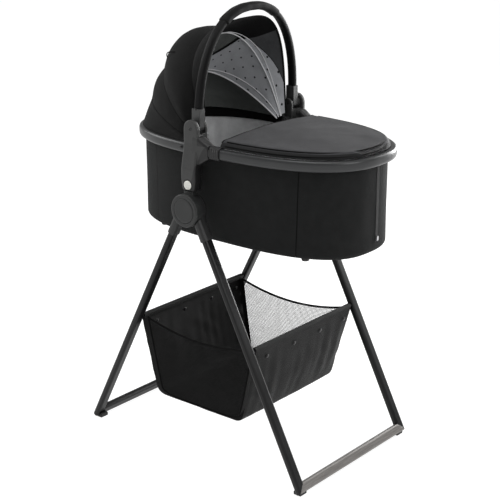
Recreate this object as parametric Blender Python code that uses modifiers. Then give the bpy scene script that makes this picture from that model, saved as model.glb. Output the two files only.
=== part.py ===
# A bassinet on a folding A-frame stand.
# Metres, +Z up, +X towards the foot end, -Y is the near side. Everything is modelled about the
# stand's hub axis, and one empty then centres the whole on the floor.

import math

import bmesh
import bpy
from mathutils import Matrix, Vector

# Clearance between pieces that touch, and running clearance of a pin in its hole
GAP = 0.0003
PIN_PLAY = 0.0003

# Stand frames: two planar U-shaped frames of flat-oval tube, hinged at the hubs
HUB_HEIGHT = 0.785
LEG_ANGLE = math.radians(27.0)
LEG_OFFSET = 0.020
LEG_WIDTH = 0.030
LEG_DEPTH = 0.020
LEG_CORNER = 0.006
LEG_WALL = 0.0016
FRAME_HALF_WIDTH = 0.260
LEG_TOP_INSET = 0.056

# Rubber pads under the four corners
PAD_STAND_OFF = 0.004
PAD_HEIGHT = 0.011
PAD_LENGTH = 0.026
PAD_WIDTH = 0.030

# Hubs
HUB_FACE_Y = FRAME_HALF_WIDTH + 0.027
HUB_PART_Y = FRAME_HALF_WIDTH + 0.002
HUB_INNER_Y = FRAME_HALF_WIDTH - 0.020
HUB_OUTER_RADIUS = 0.050
HUB_INNER_RADIUS = 0.046
HUB_EDGE = 0.004
HUB_RUNNING_GAP = 0.0015
SLEEVE_LENGTH = 0.104
SLEEVE_WALL = 0.0035
COVER_RADIUS = 0.0365
COVER_DEPTH = 0.0022
COVER_PROUD = 0.0010
NUT_RADIUS = 0.010
NUT_DEPTH = 0.006
BOLT_RADIUS = 0.004
BOLT_HEAD_RADIUS = 0.008
BOLT_HEAD_DEPTH = 0.004

# Neck on top of the outer hub, with the post that the bassinet drops over
POST_Y = FRAME_HALF_WIDTH - 0.004
NECK_WIDTH = 0.034
NECK_DEPTH = 0.022
POST_WIDTH = 0.020
POST_DEPTH = 0.008
POST_TOP_Z = HUB_HEIGHT + 0.093
POST_FOOT_Z = HUB_HEIGHT + 0.0515

# Storage basket on two cross rods
ROD_DROP = 0.450
ROD_RADIUS = 0.0055
BASKET_FLOOR_Z = 0.140
BASKET_FLOOR_HEAD_X = -0.178
BASKET_FLOOR_FOOT_X = 0.164
BASKET_HALF_WIDTH = FRAME_HALF_WIDTH - 0.038
BASKET_CHANNEL_HALF_WIDTH = FRAME_HALF_WIDTH - 0.024
BASKET_CLOTH = 0.003
BASKET_CORNER = 0.030
NET_CELLS_ALONG = 11
NET_CELLS_DOWN = 7
NET_STRAND = 0.0020
NET_SAG = 0.030

# Rim: a superellipse in plan, two U-shaped halves held in the side arms
RIM_HALF_LENGTH = 0.410
RIM_HALF_WIDTH = FRAME_HALF_WIDTH - 0.026
RIM_CENTRE_X = 0.065
RIM_POWER = 2.52
RIM_Z = HUB_HEIGHT + 0.174
RIM_TUBE_HEIGHT = 0.031
RIM_TUBE_DEPTH = 0.024
RIM_TUBE_CORNER = 0.0095
RIM_HEAD_END_X = -0.008
RIM_FOOT_END_X = 0.012

# Tub: it hangs in the rim, and the rim stands that far above the hubs
TUB_DEPTH = 0.277
TUB_TOP_Z = RIM_Z - 0.002
TUB_BOTTOM_Z = TUB_TOP_Z - TUB_DEPTH
TUB_HEAD_SHARE = 0.020
TUB_BOTTOM_HALF_LENGTH = RIM_HALF_LENGTH - 0.012
TUB_BOTTOM_HALF_WIDTH = RIM_HALF_WIDTH - 0.030
TUB_BOTTOM_POWER = 2.75
TUB_WALL = 0.009
TUB_EDGE = 0.018
LINING_THICKNESS = 0.0025
BOARD_THICKNESS = 0.004
MATTRESS_THICKNESS = 0.034
MATTRESS_CROWN = 0.012
BASE_FOOT_HEIGHT = 0.008
BASE_FOOT_RADIUS = 0.013
BASE_FOOT_X = TUB_BOTTOM_HALF_LENGTH - 0.127
BASE_FOOT_Y = TUB_BOTTOM_HALF_WIDTH - 0.058
WALL_SHARES = (0.345, 0.567, 0.789)

# Side arms
ARM_FOOT_Y = FRAME_HALF_WIDTH + 0.007
ARM_HEAD_Y = RIM_HALF_WIDTH + 0.020
ARM_BACK_Y = RIM_HALF_WIDTH + 0.006
ARM_BOTTOM_Z = HUB_HEIGHT + 0.055
ARM_HALF_WIDTH = 0.0262
ARM_LEAN_START_Z = ARM_BOTTOM_Z + 0.055
ARM_LEAN_RUN = 0.090
ARM_BODY_Z = ARM_BOTTOM_Z + 0.045
ARM_INNER_Y = RIM_HALF_WIDTH - 0.008
HANDLE_PIVOT_Z = RIM_Z + 0.062
HANDLE_SCREW_RADIUS = 0.0035
SCREW_HEAD_RADIUS = 0.0055
SCREW_HEAD_DEPTH = 0.0015
FLARE_END_X = 0.062
EAR_OUTER_Y = RIM_HALF_WIDTH - 0.0288
EAR_INNER_Y = EAR_OUTER_Y - 0.0082
EAR_HALF_WIDTH = 0.016
EAR_BOTTOM_Z = RIM_Z + 0.0015
BRIDGE_TOP_Z = RIM_Z + 0.0445
BUTTON_Z = ARM_BOTTOM_Z + 0.0185
BUTTON_RADIUS = 0.0135
BUTTON_TRAVEL = 0.003
BUTTON_PROUD = 0.0035
COLLAR_LENGTH = 0.038
COLLAR_RIBS = 5

# Carry handle
HANDLE_HALF_WIDTH = RIM_HALF_WIDTH - 0.0155
HANDLE_HEIGHT = 0.313
HANDLE_BASE_Z = HANDLE_PIVOT_Z + 0.009
HANDLE_LEAN = 0.013
HANDLE_POWER = 2.36
HANDLE_TUBE_WIDTH = 0.026
HANDLE_TUBE_DEPTH = 0.018
HANDLE_TUBE_CORNER = 0.007
GRIP_THICKNESS = 0.003
GRIP_HALF_WIDTH = 0.140
HANDLE_END_LENGTH = 0.054
HANDLE_END_HALF_WIDTH = 0.0148
HANDLE_END_WALL = 0.0015

# Canopy: hoops on one axis at each arm, with cloth between them
CANOPY_PIVOT_Z = RIM_Z + 0.013
CANOPY_POWER = 2.35
CANOPY_EYE_RADIUS = 0.0095
CANOPY_EYE_DEPTH = 0.0054
CANOPY_PIN_RADIUS = 0.003
HOOP_RADIUS = 0.0025
REAR_HOOP_ANGLE = math.radians(18.0)
REAR_HOOP_LENGTH = 0.314
MID_HOOP_ANGLE = math.radians(38.0)
MID_HOOP_LENGTH = 0.311
FRONT_HOOP_ANGLE = math.radians(71.0)
FRONT_HOOP_LENGTH = 0.301
VISOR_ANGLE = math.radians(92.0)
VISOR_LENGTH = 0.337
VISOR_DRAW_IN = 0.002
CANOPY_CLOTH = 0.003
CANOPY_SQUEEZE_SHARE = 0.113
CANOPY_SQUEEZE_X = -0.045
CANOPY_SQUEEZE_RUN = 0.010
HOOP_STEPS = 28
CLOTH_FIRST_STEP = 2
CLOTH_CLEARANCE = 0.0008
CANOPY_SEAM_GAP = 0.0030
REAR_PUFF = 0.007
FRONT_PUFF = 0.034

# Apron over the foot half
APRON_START_X = 0.1035
APRON_EDGE_HEIGHT = 0.009
APRON_CROWN = 0.012
APRON_INSET = 0.004

# Zip on the foot end
ZIP_Y = 0.020
ZIP_WIDTH = 0.012
ZIP_TOP_Z = RIM_Z - 0.024
ZIP_BOTTOM_Z = TUB_BOTTOM_Z + 0.032
ZIP_TRAVEL = 0.170
ZIP_DEPTH = 0.0015

# Worked out from the above
RIM_TOP_Z = RIM_Z + RIM_TUBE_HEIGHT / 2
RIM_INNER_HALF_WIDTH = RIM_HALF_WIDTH - RIM_TUBE_DEPTH / 2
LEG_LOW_POINT = (
    (LEG_DEPTH / 2 - LEG_CORNER) * math.sin(LEG_ANGLE)
    + (LEG_WIDTH / 2 - LEG_CORNER) * math.cos(LEG_ANGLE)
    + LEG_CORNER
)
LEG_REACH = (
    HUB_HEIGHT + LEG_OFFSET * math.sin(LEG_ANGLE) - LEG_LOW_POINT - PAD_STAND_OFF
) / math.cos(LEG_ANGLE)
BAR_X = LEG_OFFSET * math.cos(LEG_ANGLE) + LEG_REACH * math.sin(LEG_ANGLE)
BAR_HALF_SPAN_X = (
    (LEG_DEPTH / 2 - LEG_CORNER) * math.cos(LEG_ANGLE)
    + (LEG_WIDTH / 2 - LEG_CORNER) * math.sin(LEG_ANGLE)
    + LEG_CORNER
)
HEAD_EXTENT_X = -(BAR_X + BAR_HALF_SPAN_X)
FOOT_EXTENT_X = RIM_CENTRE_X + RIM_HALF_LENGTH + RIM_TUBE_DEPTH / 2
CENTRE_SHIFT_X = -(HEAD_EXTENT_X + FOOT_EXTENT_X) / 2
TUB_TOP_HALF_LENGTH = RIM_HALF_LENGTH - RIM_TUBE_DEPTH / 2 - GAP
TUB_TOP_HALF_WIDTH = RIM_INNER_HALF_WIDTH - GAP
FLOOR_TOP_Z = TUB_BOTTOM_Z + TUB_WALL
LINING_FOOT_Z = FLOOR_TOP_Z + 0.024
MATTRESS_BOTTOM_Z = FLOOR_TOP_Z + GAP + BOARD_THICKNESS + GAP


def clear_scene():
    for thing in list(bpy.data.objects):
        bpy.data.objects.remove(thing, do_unlink=True)
    for collection in list(bpy.data.collections):
        bpy.data.collections.remove(collection)


def make_collection(name):
    collection = bpy.data.collections.new(name)
    bpy.context.scene.collection.children.link(collection)
    return collection


def make_material(name, colour, roughness, metallic=0.0):
    material = bpy.data.materials.new(name)
    material.use_nodes = True
    shader = material.node_tree.nodes["Principled BSDF"]
    shader.inputs["Base Color"].default_value = (*colour, 1.0)
    shader.inputs["Roughness"].default_value = roughness
    shader.inputs["Metallic"].default_value = metallic
    return material


clear_scene()
PARTS = make_collection("bassinet_with_stand")

LEG_PAINT = make_material("leg_paint", (0.018, 0.018, 0.019), 0.38, 0.6)
RIM_PAINT = make_material("rim_paint", (0.075, 0.077, 0.080), 0.35, 0.7)
HUB_PLASTIC = make_material("hub_plastic", (0.030, 0.032, 0.033), 0.50)
BLACK_PLASTIC = make_material("black_plastic", (0.010, 0.010, 0.011), 0.45)
WHITE_PLASTIC = make_material("white_plastic", (0.80, 0.80, 0.78), 0.35)
RUBBER = make_material("rubber", (0.012, 0.012, 0.012), 0.75)
STEEL = make_material("steel", (0.55, 0.55, 0.56), 0.30, 1.0)
TUB_CLOTH = make_material("tub_cloth", (0.012, 0.012, 0.012), 0.90)
APRON_CLOTH = make_material("apron_cloth", (0.045, 0.045, 0.048), 0.85)
LINING_CLOTH = make_material("lining_cloth", (0.28, 0.28, 0.29), 0.90)
CANOPY_CLOTH_BLACK = make_material("canopy_cloth", (0.013, 0.013, 0.013), 0.90)
BASKET_CLOTH_BLACK = make_material("basket_cloth", (0.012, 0.012, 0.013), 0.85)
NET_CLOTH = make_material("net_cloth", (0.03, 0.03, 0.03), 0.80)
MATTRESS_CLOTH = make_material("mattress_cloth", (0.45, 0.45, 0.46), 0.90)
BOARD = make_material("board", (0.10, 0.09, 0.08), 0.80)
GRIP_FOAM = make_material("grip_foam", (0.016, 0.016, 0.016), 0.70)


def make_empty(name, location, turn_about_y, parent):
    empty = bpy.data.objects.new(name, None)
    empty.location = location
    empty.rotation_euler = (0.0, turn_about_y, 0.0)
    empty.parent = parent
    PARTS.objects.link(empty)
    return empty


# The origin is on the floor, under the middle of the object's length
ORIGIN = make_empty("stand_origin", (CENTRE_SHIFT_X, 0, 0), 0, None)
HEAD_AXIS = make_empty("head_frame_axis", (0, 0, HUB_HEIGHT), LEG_ANGLE, ORIGIN)
FOOT_AXIS = make_empty("foot_frame_axis", (0, 0, HUB_HEIGHT), -LEG_ANGLE, ORIGIN)
HANDLE_AXIS = make_empty("handle_axis", (0, 0, HANDLE_PIVOT_Z), 0, ORIGIN)
CANOPY_AXIS = make_empty("canopy_axis", (0, 0, CANOPY_PIVOT_Z), 0, ORIGIN)


def add_object(name, mesh, material, parent):
    piece = bpy.data.objects.new(name, mesh)
    piece.parent = parent
    mesh.materials.clear()
    if material:
        mesh.materials.append(material)
    PARTS.objects.link(piece)
    return piece


def mesh_from(bm, name, sharp_degrees=35.0):
    bmesh.ops.recalc_face_normals(bm, faces=bm.faces)
    mesh = bpy.data.meshes.new(name)
    bm.to_mesh(mesh)
    bm.free()
    mesh.shade_smooth()
    mesh.set_sharp_from_angle(angle=math.radians(sharp_degrees))
    return mesh


def evaluated_mesh(piece):
    bpy.context.view_layer.update()
    graph = bpy.context.evaluated_depsgraph_get()
    return bpy.data.meshes.new_from_object(piece.evaluated_get(graph))


def apply_modifiers(piece):
    mesh = evaluated_mesh(piece)
    piece.modifiers.clear()
    piece.data = mesh
    return piece


def boolean(piece, tool, operation):
    """Cut or join a piece with a tool object, which is used up."""
    modifier = piece.modifiers.new(operation.lower(), "BOOLEAN")
    modifier.operation = operation
    modifier.solver = "EXACT"
    modifier.object = tool
    apply_modifiers(piece)
    bpy.data.objects.remove(tool, do_unlink=True)
    return piece


def cut(piece, *tools):
    for tool in tools:
        boolean(piece, tool, "DIFFERENCE")
    return piece


def join(piece, *others):
    for other in others:
        boolean(piece, other, "UNION")
    return piece


def round_edges(piece, width, segments=2, degrees=40.0):
    bevel = piece.modifiers.new("rounded", "BEVEL")
    bevel.width = width
    bevel.segments = segments
    bevel.limit_method = "ANGLE"
    bevel.angle_limit = math.radians(degrees)
    bevel.use_clamp_overlap = True
    return apply_modifiers(piece)


def far_copy(near, name):
    """The same piece on the far side, mirrored in the middle plane."""
    mesh = near.data.copy()
    mesh.transform(Matrix.Scale(-1, 4, (0, 1, 0)) @ near.matrix_basis)
    mesh.flip_normals()
    material = near.data.materials[0]
    return add_object(name, mesh, material, near.parent)


def box(name, low, high, material=None, parent=None):
    bm = bmesh.new()
    bmesh.ops.create_cube(bm, size=1.0)
    size = [high[k] - low[k] for k in range(3)]
    centre = [(high[k] + low[k]) / 2 for k in range(3)]
    for vert in bm.verts:
        vert.co = Vector([vert.co[k] * size[k] + centre[k] for k in range(3)])
    return add_object(name, mesh_from(bm, name), material, parent or ORIGIN)


def drum(name, radius, y_low, y_high, centre=(0.0, 0.0), parent=None, material=None, sides=32):
    """A cylinder along Y, centred at centre (x, z)."""
    bm = bmesh.new()
    bmesh.ops.create_cone(
        bm, cap_ends=True, segments=sides, radius1=radius, radius2=radius, depth=y_high - y_low
    )
    turn = Matrix.Rotation(math.radians(90), 4, "X")
    move = Matrix.Translation((centre[0], (y_low + y_high) / 2, centre[1]))
    bmesh.ops.transform(bm, matrix=move @ turn, verts=bm.verts)
    return add_object(name, mesh_from(bm, name), material, parent or ORIGIN)


def rounded_rectangle(width, height, radius, steps=2):
    """Corner points of a rounded rectangle, anticlockwise from the right-hand side."""
    points = []
    for corner, (sx, sy) in enumerate(((1, 1), (-1, 1), (-1, -1), (1, -1))):
        for step in range(steps + 1):
            angle = math.radians(90 * (corner + step / steps))
            x = sx * (width / 2 - radius) + radius * math.cos(angle)
            y = sy * (height / 2 - radius) + radius * math.sin(angle)
            points.append((x, y))
    return points


def superellipse_point(angle, half_length, half_width, power):
    across, along = math.sin(angle), math.cos(angle)
    share = 2.0 / power
    x = half_length * math.copysign(abs(along) ** share, along)
    y = half_width * math.copysign(abs(across) ** share, across)
    return x, y


def superellipse(half_length, half_width, power, centre_x=0.0, count=48):
    points = []
    for k in range(count):
        x, y = superellipse_point(2 * math.pi * (k + 0.5) / count, half_length, half_width, power)
        points.append((x + centre_x, y))
    return points


def loft(name, rings, material, parent=None, closed_rings=True, caps=True, closed_path=False):
    """Skin a row of rings with as many points each; caps close the first and last ring."""
    bm = bmesh.new()
    rows = [[bm.verts.new(point) for point in ring] for ring in rings]
    count = len(rows[0])
    steps = count if closed_rings else count - 1
    pairs = list(zip(rows, rows[1:]))
    if closed_path:
        pairs.append((rows[-1], rows[0]))
    for one, two in pairs:
        for k in range(steps):
            after = (k + 1) % count
            bm.faces.new((one[k], one[after], two[after], two[k]))
    if caps and closed_rings and not closed_path:
        bm.faces.new(rows[0])
        bm.faces.new(list(reversed(rows[-1])))
    return add_object(name, mesh_from(bm, name), material, parent or ORIGIN)


def prism(name, outline, low, high, axis, material=None, parent=None):
    """Extrude a flat outline along Y or Z between two levels."""
    bm = bmesh.new()
    if axis == "Y":
        ring = [bm.verts.new((a, low, b)) for a, b in outline]
        push = Vector((0, high - low, 0))
    else:
        ring = [bm.verts.new((a, b, low)) for a, b in outline]
        push = Vector((0, 0, high - low))
    face = bm.faces.new(ring)
    result = bmesh.ops.extrude_face_region(bm, geom=[face])
    moved = [item for item in result["geom"] if isinstance(item, bmesh.types.BMVert)]
    bmesh.ops.translate(bm, vec=push, verts=moved)
    return add_object(name, mesh_from(bm, name), material, parent or ORIGIN)


def sweep_rings(path, section, level):
    """Rings of a section carried along a path; level is the fixed direction of the section's y."""
    rings = []
    for k, point in enumerate(path):
        before = Vector(path[max(k - 1, 0)])
        after = Vector(path[min(k + 1, len(path) - 1)])
        along = (after - before).normalized()
        side = along.cross(level).normalized()
        upward = side.cross(along).normalized()
        rings.append([Vector(point) + side * a + upward * b for a, b in section])
    return rings


def tube_curve(name, points, radius, material, parent=None, resolution=2):
    """A round rod or wire along a polyline, as one welded mesh."""
    curve = bpy.data.curves.new(name, "CURVE")
    curve.dimensions = "3D"
    curve.bevel_depth = radius
    curve.bevel_resolution = resolution
    curve.use_fill_caps = True
    spline = curve.splines.new("POLY")
    spline.points.add(len(points) - 1)
    for spot, point in zip(spline.points, points):
        spot.co = (*point, 1.0)
    rod = bpy.data.objects.new(name + "_path", curve)
    PARTS.objects.link(rod)
    mesh = evaluated_mesh(rod)
    bpy.data.objects.remove(rod, do_unlink=True)
    bm = bmesh.new()
    bm.from_mesh(mesh)
    bmesh.ops.remove_doubles(bm, verts=bm.verts, dist=0.00002)
    return add_object(name, mesh_from(bm, name), material, parent or ORIGIN)


def turned(name, profile, y_face, parent, material, outward=-1, centre=(0.0, 0.0), steps=32):
    """A turned piece about the Y axis. Profile points are (radius, depth behind the face)."""
    mesh = bpy.data.meshes.new(name)
    verts = [(radius, 0.0, -depth) for radius, depth in profile]
    edges = [(k, k + 1) for k in range(len(verts) - 1)]
    if profile[0][0] > 0:
        edges.append((len(verts) - 1, 0))
    mesh.from_pydata(verts, edges, [])
    piece = add_object(name, mesh, material, parent)
    screw = piece.modifiers.new("turned", "SCREW")
    screw.steps = steps
    screw.render_steps = steps
    screw.use_merge_vertices = True
    screw.merge_threshold = 0.00005
    screw.use_smooth_shade = True
    apply_modifiers(piece)
    turn = Matrix.Rotation(math.radians(-90 * outward), 4, "X")
    move = Matrix.Translation((centre[0], outward * y_face, centre[1]))
    bm = bmesh.new()
    bm.from_mesh(piece.data)
    bmesh.ops.transform(bm, matrix=move @ turn, verts=bm.verts)
    piece.data = mesh_from(bm, name)
    piece.data.materials.append(material)
    return piece


# Stand frames


def mitred_tube(name, length_low, length_high, mitre_low, mitre_high, place, parent):
    """A flat-oval tube open at both ends. Its ends slope by the mitre, 1 for 45 degrees."""
    outer = rounded_rectangle(LEG_WIDTH, LEG_DEPTH, LEG_CORNER)
    inner = rounded_rectangle(
        LEG_WIDTH - 2 * LEG_WALL, LEG_DEPTH - 2 * LEG_WALL, LEG_CORNER - LEG_WALL
    )
    rings = []
    for section, reverse in ((outer, False), (inner, True)):
        low = [place(a, b, length_low + mitre_low * a) for a, b in section]
        high = [place(a, b, length_high + mitre_high * a) for a, b in section]
        rings += [high, low] if reverse else [low, high]
    return loft(name, rings, LEG_PAINT, parent, closed_path=True)


def stand_frame(side_name, sign, axis):
    """One U-shaped frame; sign is +1 for the foot frame and -1 for the head frame."""
    normal_x = sign * LEG_OFFSET

    def leg_place(across, deep, along):
        return (normal_x + deep, -FRAME_HALF_WIDTH + across, along)

    leg = mitred_tube(
        side_name + "_leg_near",
        -LEG_REACH + GAP,
        -LEG_TOP_INSET,
        1.0,
        0.0,
        leg_place,
        axis,
    )
    far_copy(leg, side_name + "_leg_far")

    def bar_place(across, deep, along):
        return (normal_x + deep, along, -LEG_REACH + across)

    half = FRAME_HALF_WIDTH - GAP
    mitred_tube(side_name + "_floor_bar", -half, half, 1.0, -1.0, bar_place, axis)


def solid_bar_cutter(sign, axis):
    """The floor bar's outer shape, a clearance larger all round."""
    section = rounded_rectangle(
        LEG_WIDTH + 2 * GAP, LEG_DEPTH + 2 * GAP, LEG_CORNER + GAP
    )
    outline = [(sign * LEG_OFFSET + b, -LEG_REACH + a) for a, b in section]
    return prism("bar_cutter", outline, -FRAME_HALF_WIDTH - 0.03, 0.0, "Y", None, axis)


def floor_pad(side_name, sign, axis):
    """A rubber pad that cups the corner of the frame from below and stands flat on the floor."""
    middle_x = sign * (BAR_X - 0.25 * LEG_WIDTH * math.sin(LEG_ANGLE))
    low = (middle_x - PAD_LENGTH / 2, -FRAME_HALF_WIDTH - PAD_WIDTH / 4, 0)
    high = (middle_x + PAD_LENGTH / 2, -FRAME_HALF_WIDTH + 3 * PAD_WIDTH / 4, PAD_HEIGHT)
    pad = box(side_name + "_pad_near", low, high, RUBBER)
    round_edges(pad, 0.0015)
    cut(pad, solid_bar_cutter(sign, axis))
    far_copy(pad, side_name + "_pad_far")


# Hubs


def sleeve(name, axis, sign, clearance=0.0, low=-SLEEVE_LENGTH, high=-0.015):
    wall = -clearance if clearance else SLEEVE_WALL
    outline = rounded_rectangle(
        LEG_DEPTH + 2 * wall + (4 * clearance if clearance else 0),
        LEG_WIDTH + 2 * wall + (4 * clearance if clearance else 0),
        LEG_CORNER + (clearance or SLEEVE_WALL),
    )
    shifted = [(a + sign * LEG_OFFSET, b - FRAME_HALF_WIDTH) for a, b in outline]
    return prism(name, shifted, low, high, "Z", HUB_PLASTIC, axis)


def hub_outer():
    """The head leg's half of the hinge: disc, sleeve, and the neck that takes the tongue."""
    edge = HUB_EDGE
    profile = [
        (0.0, COVER_DEPTH + NUT_DEPTH),
        (NUT_RADIUS, COVER_DEPTH + NUT_DEPTH),
        (NUT_RADIUS, COVER_DEPTH),
        (COVER_RADIUS + GAP, COVER_DEPTH),
        (COVER_RADIUS + GAP, 0.0008),
        (COVER_RADIUS + 0.0012, 0.0),
        (HUB_OUTER_RADIUS - edge, 0.0),
        (HUB_OUTER_RADIUS - 0.3 * edge, 0.3 * edge),
        (HUB_OUTER_RADIUS, edge),
        (HUB_OUTER_RADIUS, HUB_FACE_Y - HUB_PART_Y),
        (0.0, HUB_FACE_Y - HUB_PART_Y),
    ]
    disc = turned("hub_outer_near", profile, HUB_FACE_Y, HEAD_AXIS, HUB_PLASTIC, steps=32)
    arm = sleeve("sleeve", HEAD_AXIS, -1)
    neck_outline = rounded_rectangle(NECK_WIDTH, NECK_DEPTH, 0.004)
    neck = prism(
        "neck",
        [(a, b - POST_Y) for a, b in neck_outline],
        HUB_HEIGHT + 0.030,
        ARM_BOTTOM_Z - GAP,
        "Z",
        HUB_PLASTIC,
    )
    room = HUB_INNER_RADIUS + HUB_RUNNING_GAP
    for piece in (arm, neck):
        inside = drum("room", room, -HUB_PART_Y - 0.0002, -HUB_INNER_Y + 0.02, (0, 0), HEAD_AXIS)
        cut(piece, inside)
    join(disc, arm, neck)
    pocket = box(
        "pocket",
        (-POST_WIDTH / 2 - GAP, -POST_Y - POST_DEPTH / 2 - GAP, POST_FOOT_Z - GAP),
        (POST_WIDTH / 2 + GAP, -POST_Y + POST_DEPTH / 2 + GAP, ARM_BOTTOM_Z + 0.001),
    )
    cut(disc, pocket)
    cut(disc, sleeve("leg_socket", HEAD_AXIS, -1, GAP, -SLEEVE_LENGTH - 0.01, -LEG_TOP_INSET + GAP))
    cut(disc, drum("bolt_hole", BOLT_RADIUS + PIN_PLAY, -HUB_FACE_Y, -HUB_INNER_Y, (0, 0), HEAD_AXIS))
    far_copy(disc, "hub_outer_far")
    tongue = box(
        "arm_tongue_near",
        (-POST_WIDTH / 2, -POST_Y - POST_DEPTH / 2, POST_FOOT_Z),
        (POST_WIDTH / 2, -POST_Y + POST_DEPTH / 2, POST_TOP_Z),
        STEEL,
        ORIGIN,
    )
    round_edges(tongue, 0.002)
    far_copy(tongue, "arm_tongue_far")


def hub_inner():
    """The foot leg's half of the hinge, behind the outer disc."""
    depth = HUB_PART_Y - GAP - HUB_INNER_Y
    profile = [
        (0.0, 0.0),
        (HUB_INNER_RADIUS, 0.0),
        (HUB_INNER_RADIUS, depth - HUB_EDGE),
        (HUB_INNER_RADIUS - 0.3 * HUB_EDGE, depth - 0.3 * HUB_EDGE),
        (HUB_INNER_RADIUS - HUB_EDGE, depth),
        (0.0, depth),
    ]
    disc = turned("hub_inner_near", profile, HUB_PART_Y - GAP, FOOT_AXIS, HUB_PLASTIC, steps=32)
    arm = sleeve("sleeve", FOOT_AXIS, 1)
    room = HUB_OUTER_RADIUS + HUB_RUNNING_GAP
    cut(arm, drum("room", room, -HUB_FACE_Y - 0.01, -HUB_PART_Y + GAP + 0.0002, (0, 0), FOOT_AXIS))
    join(disc, arm)
    cut(disc, sleeve("leg_socket", FOOT_AXIS, 1, GAP, -SLEEVE_LENGTH - 0.01, -LEG_TOP_INSET + GAP))
    cut(disc, drum("bolt_hole", BOLT_RADIUS + PIN_PLAY, -HUB_FACE_Y, 0, (0, 0), FOOT_AXIS))
    far_copy(disc, "hub_inner_far")


def hub_fittings():
    """The snap-in cover, and the pivot bolt with its head and nut."""
    depth = COVER_DEPTH - GAP + COVER_PROUD
    profile = [
        (0.0, 0.0006),
        (COVER_RADIUS - 0.006, 0.0),
        (COVER_RADIUS - 0.0012, 0.0003),
        (COVER_RADIUS, 0.0014),
        (COVER_RADIUS, depth),
        (0.0, depth),
    ]
    cover = turned(
        "hub_cover_near", profile, HUB_FACE_Y + COVER_PROUD, HEAD_AXIS, HUB_PLASTIC, steps=32
    )
    far_copy(cover, "hub_cover_far")

    nut_top = HUB_FACE_Y - COVER_DEPTH - 0.001
    nut_bottom = HUB_FACE_Y - COVER_DEPTH - NUT_DEPTH + GAP
    bolt_end = HUB_INNER_Y - GAP
    profile = [
        (0.0, 0.0),
        (NUT_RADIUS - 0.002, 0.0),
        (NUT_RADIUS - 0.002, nut_top - nut_bottom),
        (BOLT_RADIUS, nut_top - nut_bottom),
        (BOLT_RADIUS, nut_top - bolt_end),
        (BOLT_HEAD_RADIUS, nut_top - bolt_end),
        (BOLT_HEAD_RADIUS, nut_top - bolt_end + 0.6 * BOLT_HEAD_DEPTH),
        (0.6 * BOLT_HEAD_RADIUS, nut_top - bolt_end + BOLT_HEAD_DEPTH),
        (0.0, nut_top - bolt_end + BOLT_HEAD_DEPTH),
    ]
    bolt = turned("pivot_bolt_near", profile, nut_top, HEAD_AXIS, STEEL, steps=16)
    far_copy(bolt, "pivot_bolt_far")


# Storage basket


def rod_place(sign):
    """Middle of a cross rod, on the leg's centre line ROD_DROP down from the hub."""
    x = LEG_OFFSET * math.cos(LEG_ANGLE) + ROD_DROP * math.sin(LEG_ANGLE)
    z = HUB_HEIGHT + LEG_OFFSET * math.sin(LEG_ANGLE) - ROD_DROP * math.cos(LEG_ANGLE)
    return sign * x, z


def basket_rod(name, sign, axis):
    half = FRAME_HALF_WIDTH - LEG_WIDTH / 2 - GAP
    rod = drum(name, ROD_RADIUS, -half, half, (0, 0), axis, LEG_PAINT, 20)
    rod.location = (sign * LEG_OFFSET, 0, -ROD_DROP)
    return rod


def basket_section():
    """Side view of the cloth from the head rod down, along the floor and up to the foot rod."""
    head_x, top_z = rod_place(-1)
    foot_x = rod_place(1)[0]
    around = (ROD_RADIUS + GAP) / math.cos(math.radians(20))
    points = []
    for degrees in (-60, -20, 20, 60, 100, 140, 180):
        angle = math.radians(degrees)
        points.append((head_x + around * math.cos(angle), top_z + around * math.sin(angle)))
    corners = (
        (head_x - around, top_z),
        (BASKET_FLOOR_HEAD_X, BASKET_FLOOR_Z),
        (BASKET_FLOOR_FOOT_X, BASKET_FLOOR_Z),
        (foot_x + around, top_z),
    )
    for here in (1, 2):
        centre = Vector(corners[here])
        back = (Vector(corners[here - 1]) - centre).normalized()
        ahead = (Vector(corners[here + 1]) - centre).normalized()
        for step in range(6):
            share = step / 5
            start = centre + back * BASKET_CORNER
            end = centre + ahead * BASKET_CORNER
            spot = start * (1 - share) ** 2 + centre * 2 * share * (1 - share) + end * share**2
            points.append(tuple(spot))
    for degrees in (0, 40, 80, 120, 160, 200, 240):
        angle = math.radians(degrees)
        points.append((foot_x + around * math.cos(angle), top_z + around * math.sin(angle)))
    return points


def basket_cloth():
    """One sheet hung over both rods: head panel, floor and foot panel."""
    section = basket_section()
    sheets = []
    for share in (-1, 1):
        row = []
        for x, z in section:
            rise = min(max((z - BASKET_FLOOR_Z) / (rod_place(1)[1] - BASKET_FLOOR_Z), 0), 1)
            width = BASKET_HALF_WIDTH + (BASKET_CHANNEL_HALF_WIDTH - BASKET_HALF_WIDTH) * rise
            row.append((x, share * width, z))
        sheets.append(row)
    cloth = loft("basket_cloth", sheets, BASKET_CLOTH_BLACK, None, False)
    thick = cloth.modifiers.new("thickness", "SOLIDIFY")
    thick.thickness = BASKET_CLOTH
    thick.offset = 1.0
    return apply_modifiers(cloth)


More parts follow.
